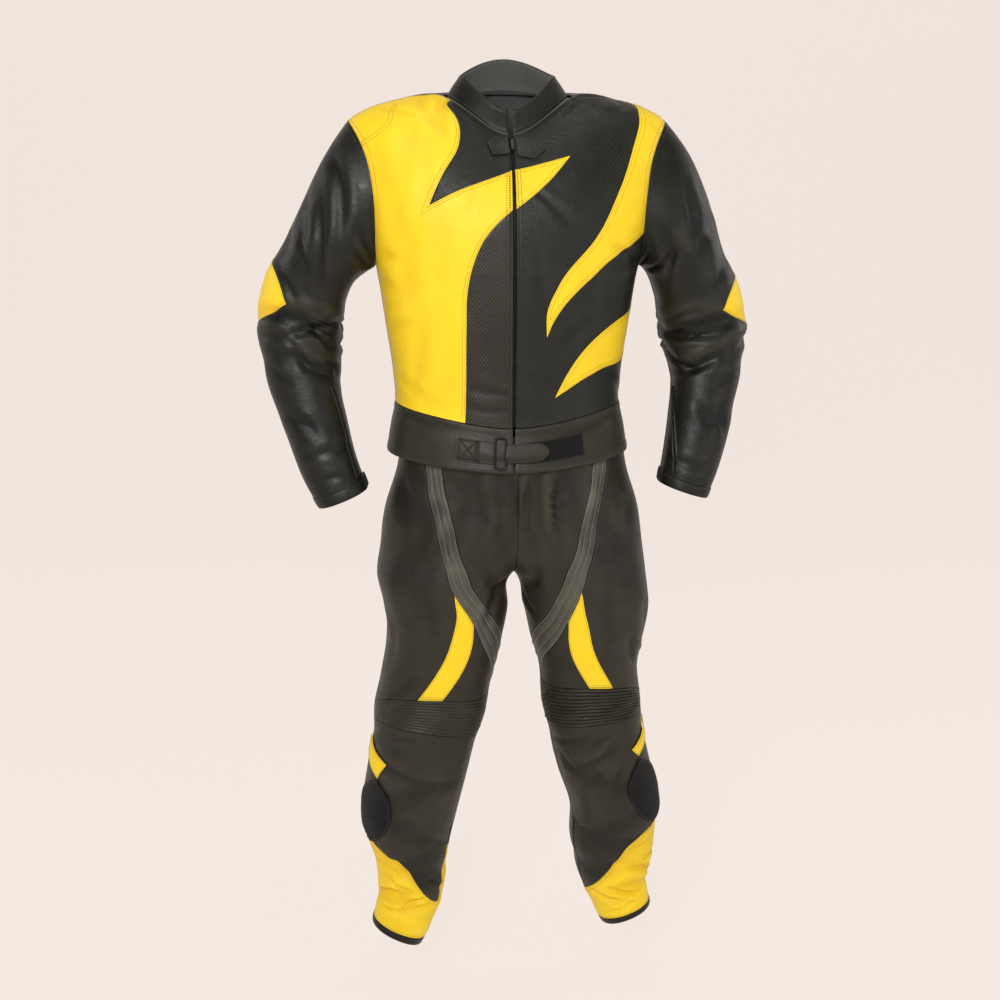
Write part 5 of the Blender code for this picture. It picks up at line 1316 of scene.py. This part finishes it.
# %% Fly
fly_along = np.linspace(0.050, 0.150, 26)
fly_rise = rise("left")
fly_edge = np.interp(fly_along, fly_rise[:, 1], fly_rise[:, 0])
strip_panel("fly", "brown", LEG_FORM["left"], np.stack([fly_edge + 1.0, fly_along], -1),
            np.stack([fly_edge + 8.0, fly_along], -1), 6, thickness=0.0014, base=0.0014 + 0.0007,
            relief=lambda angle, along, across: pillow(angle, along, across) * 2 / 3, inner="brown")
print("fly", round(float(fly_along[-1] - fly_along[0]) * 1000), "mm long")

# %% [markdown]
# ## Small things many times over
# A suit has some ten thousand stitches and half a thousand zip teeth. One stitch is a stretched
# low-poly ball. Doubling it again and again gives the whole row in one mesh, and numpy then lays
# every copy along its line. One joined mesh renders faster than thousands of objects.

# %% Scatter
def repeated(bm, count):
    """The same small shape count times in one bmesh, in vertex order."""
    size = len(bm.verts)
    copy = bpy.data.meshes.new("copy")
    while len(bm.verts) < size * count:
        bm.to_mesh(copy)
        bm.from_mesh(copy)
    bm.verts.ensure_lookup_table()
    bmesh.ops.delete(bm, geom=bm.verts[size * count:], context="VERTS")
    bpy.data.meshes.remove(copy)


def scatter(name, bm, kind, place, ahead, out):
    """Lay copies of a small shape; its X runs ahead along the line and its Z out of the surface."""
    bmesh.ops.recalc_face_normals(bm, faces=bm.faces[:])
    once = bpy.data.meshes.new("once")
    bm.to_mesh(once)
    bm.free()
    bm = bmesh.new()      # a fresh bmesh has no freed slots, so the copies stay in vertex order
    bm.from_mesh(once)
    bpy.data.meshes.remove(once)
    shape = np.array([v.co[:] for v in bm.verts])
    repeated(bm, len(place))
    side = np.cross(out, ahead)
    at = (place[:, None] + shape[None, :, :1] * ahead[:, None] + shape[None, :, 1:2] * side[:, None]
          + shape[None, :, 2:] * out[:, None])
    obj = finish_piece(name, bm, [MATERIAL[kind]], [])
    obj.data.vertices.foreach_set("co", at.reshape(-1).astype(np.float32))
    obj.data.update()
    return obj


def along_line(form, line, pitch, height, shift=0.0, start=0.5):
    """Places, directions and ways out at even steps along a pattern line, shift metres to its left."""
    scale = girth_of(form) / 360
    flat = np.asarray(line, float) * [scale, 1.0]
    if shift:
        flat = offset(flat, shift, closed=False)
    keys = lengths(flat)
    fine = np.linspace(0, keys[-1], max(3, int(keys[-1] / 0.0015)))
    angle, along = np.interp(fine, keys, flat[:, 0]) / scale, np.interp(fine, keys, flat[:, 1])
    point = laid(form, angle, along, np.full(len(fine), height))
    gone = lengths(point)
    at = np.arange(start * pitch, gone[-1], pitch)
    if not len(at):
        return np.zeros((0, 3)), np.zeros((0, 3)), np.zeros((0, 3))

    def pick(values, where):
        return np.stack([np.interp(where, gone, values[:, k]) for k in range(3)], -1)
    ahead = pick(point, np.minimum(at + 0.001, gone[-1])) - pick(point, np.maximum(at - 0.001, 0))
    ahead = ahead / np.linalg.norm(ahead, axis=-1, keepdims=True)
    out = pick(normal(form, angle, along), at)
    out = out - ahead * np.sum(out * ahead, -1, keepdims=True)
    return pick(point, at), ahead, out / np.linalg.norm(out, axis=-1, keepdims=True)


def inside_rows(name, form, inset, keep=None):
    """The lines a needle follows at one distance inside a panel's edge, as pieces of pattern line."""
    scale = girth_of(form) / 360
    edge = OUTLINE[name]
    row = offset(edge, inset)
    ends = np.roll(edge, -1, axis=0)
    step = ends - edge
    squared = np.maximum(np.sum(step ** 2, -1), 1e-12)
    t = np.clip(np.sum((row[:, None] - edge[None]) * step[None], -1) / squared, 0, 1)
    gap = np.linalg.norm(row[:, None] - edge[None] - t[..., None] * step[None], axis=-1).min(1)
    good = gap > inset * 0.96
    row = row / [scale, 1.0]
    if keep is not None:
        good &= keep(row[:, 0], row[:, 1])
    if good.all():
        return [np.concatenate([row, row[:1]])]
    first = int(np.argmin(good))
    row, good = np.roll(row, -first, axis=0), np.roll(good, -first)
    cuts = np.flatnonzero(np.diff(good.astype(int))) + 1
    return [part for part, ok in zip(np.split(row, cuts), [good[0]] + [bool(good[c]) for c in cuts])
            if ok and len(part) > 2]


def one_stitch():
    """A thread that goes down into the leather at both ends."""
    bm = bmesh.new()
    bmesh.ops.create_uvsphere(bm, u_segments=4, v_segments=3, radius=1.0)
    bmesh.ops.rotate(bm, verts=bm.verts[:], matrix=Matrix.Rotation(math.radians(90), 3, "Y"))
    bmesh.ops.scale(bm, verts=bm.verts[:], vec=(0.0016, 0.00048, 0.00048))
    return bm


STITCH = 0.0037
ROW, SECOND_ROW = 0.0022, 0.0066   # from the edge
SEWN = {"ochre": [], "black": [], "grey": []}


def sew(colour, form, line, *shifts, height=0.0001):
    """Rows of stitches along a line, each shifted to its side; minus is to the right."""
    for shift in shifts or (0.0,):
        SEWN[colour].append(along_line(form, line, STITCH, height, shift))


def sew_inside(colour, name, form, *insets, height=0.0001, keep=None):
    """Rows of stitches inside a panel's edge, where keep allows them."""
    for inset in insets:
        for part in inside_rows(name, form, inset, keep):
            sew(colour, form, part, height=height)


print("one stitch:", len(one_stitch().faces), "faces")

# %% [markdown]
# ## Sewing
# Every seam of a race suit is sewn twice: once inside, and then topstitched flat, 2 mm and often
# also 6 mm from the edge. The thread on yellow is ochre and shows; on black it is black and only
# its small shadow shows. The grey strips are quilted over elastic, in lengthwise rows.

# %% Jacket stitching
for name in ("front_right_yellow", "front_left_flash", "front_left_slash", "front_left_claw"):
    sew_inside("ochre", name, body, ROW, SECOND_ROW,
               keep=lambda angle, along: (along > 0.008) & (np.abs(angle) > 1.9))
sew("ochre", body, smooth((-78, 0.499), (-71, 0.425), (-75, 0.405), (-80, 0.396)), 0.0, 0.004)
sew("ochre", body, smooth((75, 0.437), (77, 0.412), (84, 0.400)), 0.0, 0.004)
for angle in (2.9, 5.0):
    for sign in (-1, 1):
        sew("black", body, straight((sign * angle, 0.006), (sign * angle, 0.582)))
sew("black", body, YOKE_SEAM, -ROW, -SECOND_ROW)
for along in (-0.0045, -0.0095, -0.0690, -0.0740, -0.0765):
    sew("black", body, straight((1.6, along), (358.4, along)), height=0.0006)
for sign in SIGN.values():
    for turn in (-0.7, 0.7):
        angle = sign * (SIDE + turn)
        sew("black", body, straight((angle, 0.004), (angle, 0.210)))
for along in (0.0035, 0.0440, 0.0470):
    sew("black", collar, straight((5.0, along), (355.0, along), girth=GIRTH["collar"]), height=0.0004)
for name in ("neck_tab_right", "neck_tab_left"):
    sew_inside("black", name, body, ROW, height=LEATHER + 0.0012)
sew_inside("black", "belt_tongue", body, 0.0025, height=0.0064)
sew_inside("black", "belt_patch", body, 0.0020, height=0.0042)
sew_inside("black", "belt_hook_strip", body, 0.0016, height=0.0023)
for ends in BOX_LINES:
    sew("black", body, straight(*ends), height=0.0037)

# %% Sleeve stitching
for side in SIGN:
    form = SLEEVE_FORM[side]
    sew("black", form, inner_front, ROW)
    sew("black", form, inner_back, ROW)
    sew("black", form, ELBOW_ABOVE, -ROW)
    sew("black", form, ELBOW_BELOW, ROW)
    sew_inside("ochre", "sleeve_elbow_" + side, form, ROW)
    sew("black", form, straight((-88, 0.0035), (268, 0.0035), girth=GS))
    sew("black", form, straight((-90, 0.006), (-90, 0.535), girth=GS), ROW, -ROW)
    sew("black", form, straight((-74, 0.5425), (284, 0.5425), girth=GS), height=0.0012)
    sew_inside("black", "cuff_tab_" + side, form, ROW, height=0.0042)
print("jacket rows:", {k: len(v) for k, v in SEWN.items()})

# %% Trouser stitching
for side in SIGN:
    form = LEG_FORM[side]
    sew("black", form, STRIP_TO_FLASH, -ROW)
    sew("black", form, INNER_EDGE, ROW)
    for share in (0.05, 0.333, 0.667, 0.95):
        sew("grey", form, INNER_EDGE + (OUTER_EDGE - INNER_EDGE) * share, height=0.0003)
    sew_inside("ochre", "leg_flash_" + side, form, ROW)
    sew("ochre", form, leg_line((-5, 0.4325), (16, 0.4345)))
    sew("black", form, smooth_leg(KNEE_TOP_ROWS), -ROW)
    sew("black", form, smooth_leg(KNEE_BOTTOM_ROWS), ROW, SECOND_ROW)
    across, limit = (np.array(c, float) for c in TONGUE[side])
    top, bottom = np.array(KNEE_TOP_ROWS).T, np.array(KNEE_BOTTOM_ROWS).T
    edge = limit + 3
    start, end = np.interp(edge, *top), np.interp(edge, *bottom)
    sew("black", form, smooth_leg(list(zip(edge, start + (end - start) * across))), height=0.0004)
    sew("black", form, leg_line((OUTSEAM, 0.004), (OUTSEAM, 0.660)), ROW, -ROW)
    sew("black", form, inseam(0.250, GAITER_TOP[side][0][1] - 0.007), ROW, -ROW)
    sew("ochre", form, GAITER_TOP[side], ROW, SECOND_ROW)
    sew("black", form, GAITER_TOP[side], -ROW)
    sew("black", form, smooth_leg(SHIN_EDGE[side]), -0.0030)
    sew("black", form, rise(side), -0.0024)
    sew("black", form, rise(side, back=True), 0.0024)
    sew("ochre", form, leg_line((-74, HEM_TOP - 0.003), (286, HEM_TOP - 0.003)))
    sew("black", form, leg_line((-74, HEM_TOP + 0.003), (286, HEM_TOP + 0.003)), height=0.0008)
    sew("black", form, leg_line((OUTSEAM + 2, KNEE_SEAM), (280, KNEE_SEAM)), ROW)
    sew_inside("black", "knee_hook_patch_" + side, form, 0.0030, height=0.0040)
    sew_inside("ochre", "knee_yellow_" + side, form, 0.0020, height=0.0034)
sew("black", LEG_FORM["left"], np.stack([fly_edge + 7.0, fly_along], -1), height=0.0024)
for colour, rows in SEWN.items():
    place, ahead, out = (np.concatenate([row[k] for row in rows]) for k in range(3))
    scatter("stitches_" + colour, one_stitch(), colour + "_thread", place, ahead, out)
    print(len(place), colour, "stitches")

# %% [markdown]
# ## Zips
# A metal zip is two rows of teeth on a woven tape. The front one's tape lies between the two rolled
# leather edges. The cuff zips are short and let the hand through.

# %% Front zip
along = np.linspace(0.002, 0.560, 140)
edges = [np.stack([np.full(len(along), a), along], -1) for a in (-ZIP_EDGE, ZIP_EDGE)]
strip_panel("front_zip_tape", "hook", body, *edges, 6, thickness=0.0016, base=-0.0002, nodes=["front_zip"],
            slot="zip_tape", inner="hook",
            relief=lambda angle, along, across: 0.0004 * np.cos(2 * np.pi * across) - 0.0002)


def one_tooth(long, wide, high):
    """A zip tooth, a small block with its edges cut off."""
    bm = bmesh.new()
    bmesh.ops.create_cube(bm, size=1.0)
    bmesh.ops.scale(bm, verts=bm.verts[:], vec=(long, wide, high))
    round_edges(bm, bm.edges[:], min(long, high) * 0.25, 1)
    return bm


def teeth(name, form, line, gap=0.0009, pitch=0.0026, height=0.0006, size=(0.0014, 0.0026, 0.0014)):
    """Two rows of teeth that fall between each other."""
    rows = [along_line(form, line, pitch, height, gap * sign, start) for sign, start in ((-1, 0.5), (1, 1.0))]
    scatter(name, one_tooth(*size), "metal", *(np.concatenate([row[k] for row in rows]) for k in range(3)))


teeth("front_zip_teeth", body, straight((0, 0.004), (0, 0.556)))

# %% Cuff zips
CUFF_ZIP = {
    "right": [(-48, 0.356), (-56, 0.410), (-58, 0.456), (-55, 0.534)],
    "left": [(-78, 0.377), (-68, 0.420), (-57, 0.462), (-36, 0.534)],
}


def zip_lips(angle, along, across):
    """Two rolled leather edges with the tape sunk between them."""
    return 0.0014 * np.exp(-((np.abs(across - 0.5) - 0.24) / 0.10) ** 2) - 0.0006


for side in SIGN:
    form = SLEEVE_FORM[side]
    line = smooth(*CUFF_ZIP[side], girth=GS)
    scale = GS / 360
    low, high = (offset(line * [scale, 1.0], w, closed=False) / [scale, 1.0] for w in (-0.008, 0.008))
    strip_panel("cuff_zip_" + side, "black", form, low, high, 16, thickness=0.0012, base=0.0014,
                relief=zip_lips, nodes=[], slot="black_leather", inner="black")
    teeth("cuff_zip_teeth_" + side, form, line, gap=0.0007, height=0.0013, size=(0.0013, 0.0022, 0.0012))

# %% [markdown]
# ## Slider, pull and belt ring
# These are die-cast zinc under black lacquer. The slider is a small block with a bridge; the pull
# hangs from the bridge and swings about it, so it rides on its own body. The belt's ring is a flat
# bar bent to a rectangle.

# %% Slider and pull
SLIDER_ALONG = 0.500
place = body(0.0, SLIDER_ALONG)
up = body(0.0, SLIDER_ALONG + 0.002) - body(0.0, SLIDER_ALONG - 0.002)
up = up / np.linalg.norm(up)
out = np.cross([1.0, 0.0, 0.0], up)


def block(bm, centre, size, edge, taper=1.0):
    """A rounded block in the frame of the front's middle; taper narrows its lower end."""
    made = bmesh.ops.create_cube(bm, size=1.0)["verts"]
    for vert in made:
        x, y, z = vert.co.x * size[0], vert.co.y * size[1], vert.co.z * size[2]
        x *= taper if z < 0 else 1.0
        vert.co = centre + np.array([x, 0, 0]) + out * y + up * z
    edges = list({e for v in made for e in v.link_edges})
    round_edges(bm, edges, edge, 3)


bm = bmesh.new()
block(bm, place + out * 0.0026, (0.0084, 0.0028, 0.0110), 0.0009, taper=0.72)
for rise_up, tall in ((0.0035, 0.0030), (-0.0030, 0.0024)):   # the bridge's two feet
    block(bm, place + out * 0.0048 + up * rise_up, (0.0026, 0.0014, tall), 0.0005)
point_out(bm)
finish_piece("slider", bm, [MATERIAL["metal"]], ["zip_slider"])
hinge = place + out * 0.0063 + up * 0.003
bm = bmesh.new()
block(bm, hinge - up * 0.011, (0.0070, 0.0014, 0.0220), 0.0004, taper=0.8)
front = max(bm.faces, key=lambda f: f.normal.dot(Vector(out)) * f.calc_area())
bmesh.ops.inset_region(bm, faces=[front], thickness=0.0011, depth=-0.0004)
point_out(bm)
finish_piece("pull_tab", bm, [MATERIAL["metal"]], ["zip_pull"], "pull")
print("hinge", hinge.round(4))

# %% Belt ring
RING = dict(angle=-9.5, width=0.0168, height=0.0478, corner=0.0042, bar=0.0018, gap=0.0004)
place = body(np.array(RING["angle"]), np.array(BELT_MIDDLE))
out = normal(body, np.array(RING["angle"]), np.array(BELT_MIDDLE))
up = body(np.array(RING["angle"]), np.array(BELT_MIDDLE + 0.001)) - place
up = up / np.linalg.norm(up)
across = np.cross(up, out)
curve = bpy.data.curves.new("ring_path", "CURVE")
curve.dimensions = "3D"
curve.bevel_depth = RING["bar"]
curve.bevel_resolution = 3
spline = curve.splines.new("POLY")
path = []
for corner, (sx, sy) in enumerate(((1, 1), (-1, 1), (-1, -1), (1, -1))):
    for turn in np.radians(np.linspace(0, 90, 6) + 90 * corner):
        x = sx * (RING["width"] / 2 - RING["corner"]) + RING["corner"] * math.cos(turn)
        y = sy * (RING["height"] / 2 - RING["corner"]) + RING["corner"] * math.sin(turn)
        path.append(place + out * (RING["bar"] + RING["gap"] + 0.0032) + across * x + up * y)
spline.points.add(len(path) - 1)
for point, co in zip(spline.points, path):
    point.co = (*co, 1)
spline.use_cyclic_u = True
path_object = add_object("ring_path", curve)
bm = bmesh.new()
made = bpy.data.meshes.new_from_object(path_object)
bm.from_mesh(made)
bpy.data.objects.remove(path_object)
bpy.data.meshes.remove(made)
point_out(bm)
finish_piece("ring", bm, [MATERIAL["metal"]], ["belt_ring"])
print("ring", len(MADE["ring"].data.polygons), "faces")

# %% [markdown]
# ## What each piece was before it was sewn
# Every sheet's flat size is worked out here. A panel's outline is known from the cutting, and its true
# area from the mesh, so the smallest rectangle that holds the outline gives the cut's width and length.

# %% Sheets
def smallest_box(points):
    """Width and length of the smallest rectangle round a flat outline."""
    best = None
    for turn in np.radians(np.arange(0, 90, 3)):
        c, s = math.cos(turn), math.sin(turn)
        size = np.ptp(points @ np.array([[c, -s], [s, c]]), axis=0)
        if best is None or size.prod() < best.prod():
            best = size
    return best


LAID_ON = {"belt_patch": "jacket_waistband", "belt_hook_strip": "jacket_waistband", "fly": "leg_pelvis_left",
           "neck_tab_right": "front_right_upper", "neck_tab_left": "front_left_black",
           "cuff_tab_right": "cuff_band_right", "cuff_tab_left": "cuff_band_left"}
for side in SIGN:
    LAID_ON["knee_hook_patch_" + side] = LAID_ON["knee_yellow_" + side] = "leg_shin_" + side
    LAID_ON["cuff_zip_" + side] = "sleeve_forearm_" + side
LEAST_SIDE = 0.0105   # the table takes no narrower strip
SHEETS = []
for name, outline in OUTLINE.items():
    if name == "belt_tongue":
        continue
    area = sum(p.area for p in MADE[name].data.polygons) / 2
    turned = np.roll(outline, -1, axis=0)
    drawn = abs(np.sum(outline[:, 0] * turned[:, 1] - turned[:, 0] * outline[:, 1])) / 2
    size = smallest_box(outline * math.sqrt(area / drawn))
    size = np.maximum(size, LEAST_SIDE)
    area = min(area, size.prod())
    SHEETS.append((name, *size, area))
for row in SHEETS:
    print("%-24s %5.3f x %5.3f m, %6.4f m2" % row)

# %% [markdown]
# ## Last: sizes
# The dressed suit must stay in the box of its solids.

# %% Finish
everything = [o for o in bpy.data.objects if o.type == "MESH" and not o.hide_render]
print("triangles:", sum(sum(len(p.vertices) - 2 for p in o.data.polygons) for o in everything))


def plain(value):
    """A box as plain lists of numbers."""
    return [plain(v) for v in value] if hasattr(value, "__len__") else float(value)


{"cad": plain(CAD_BOX), "visual": plain(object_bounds())}
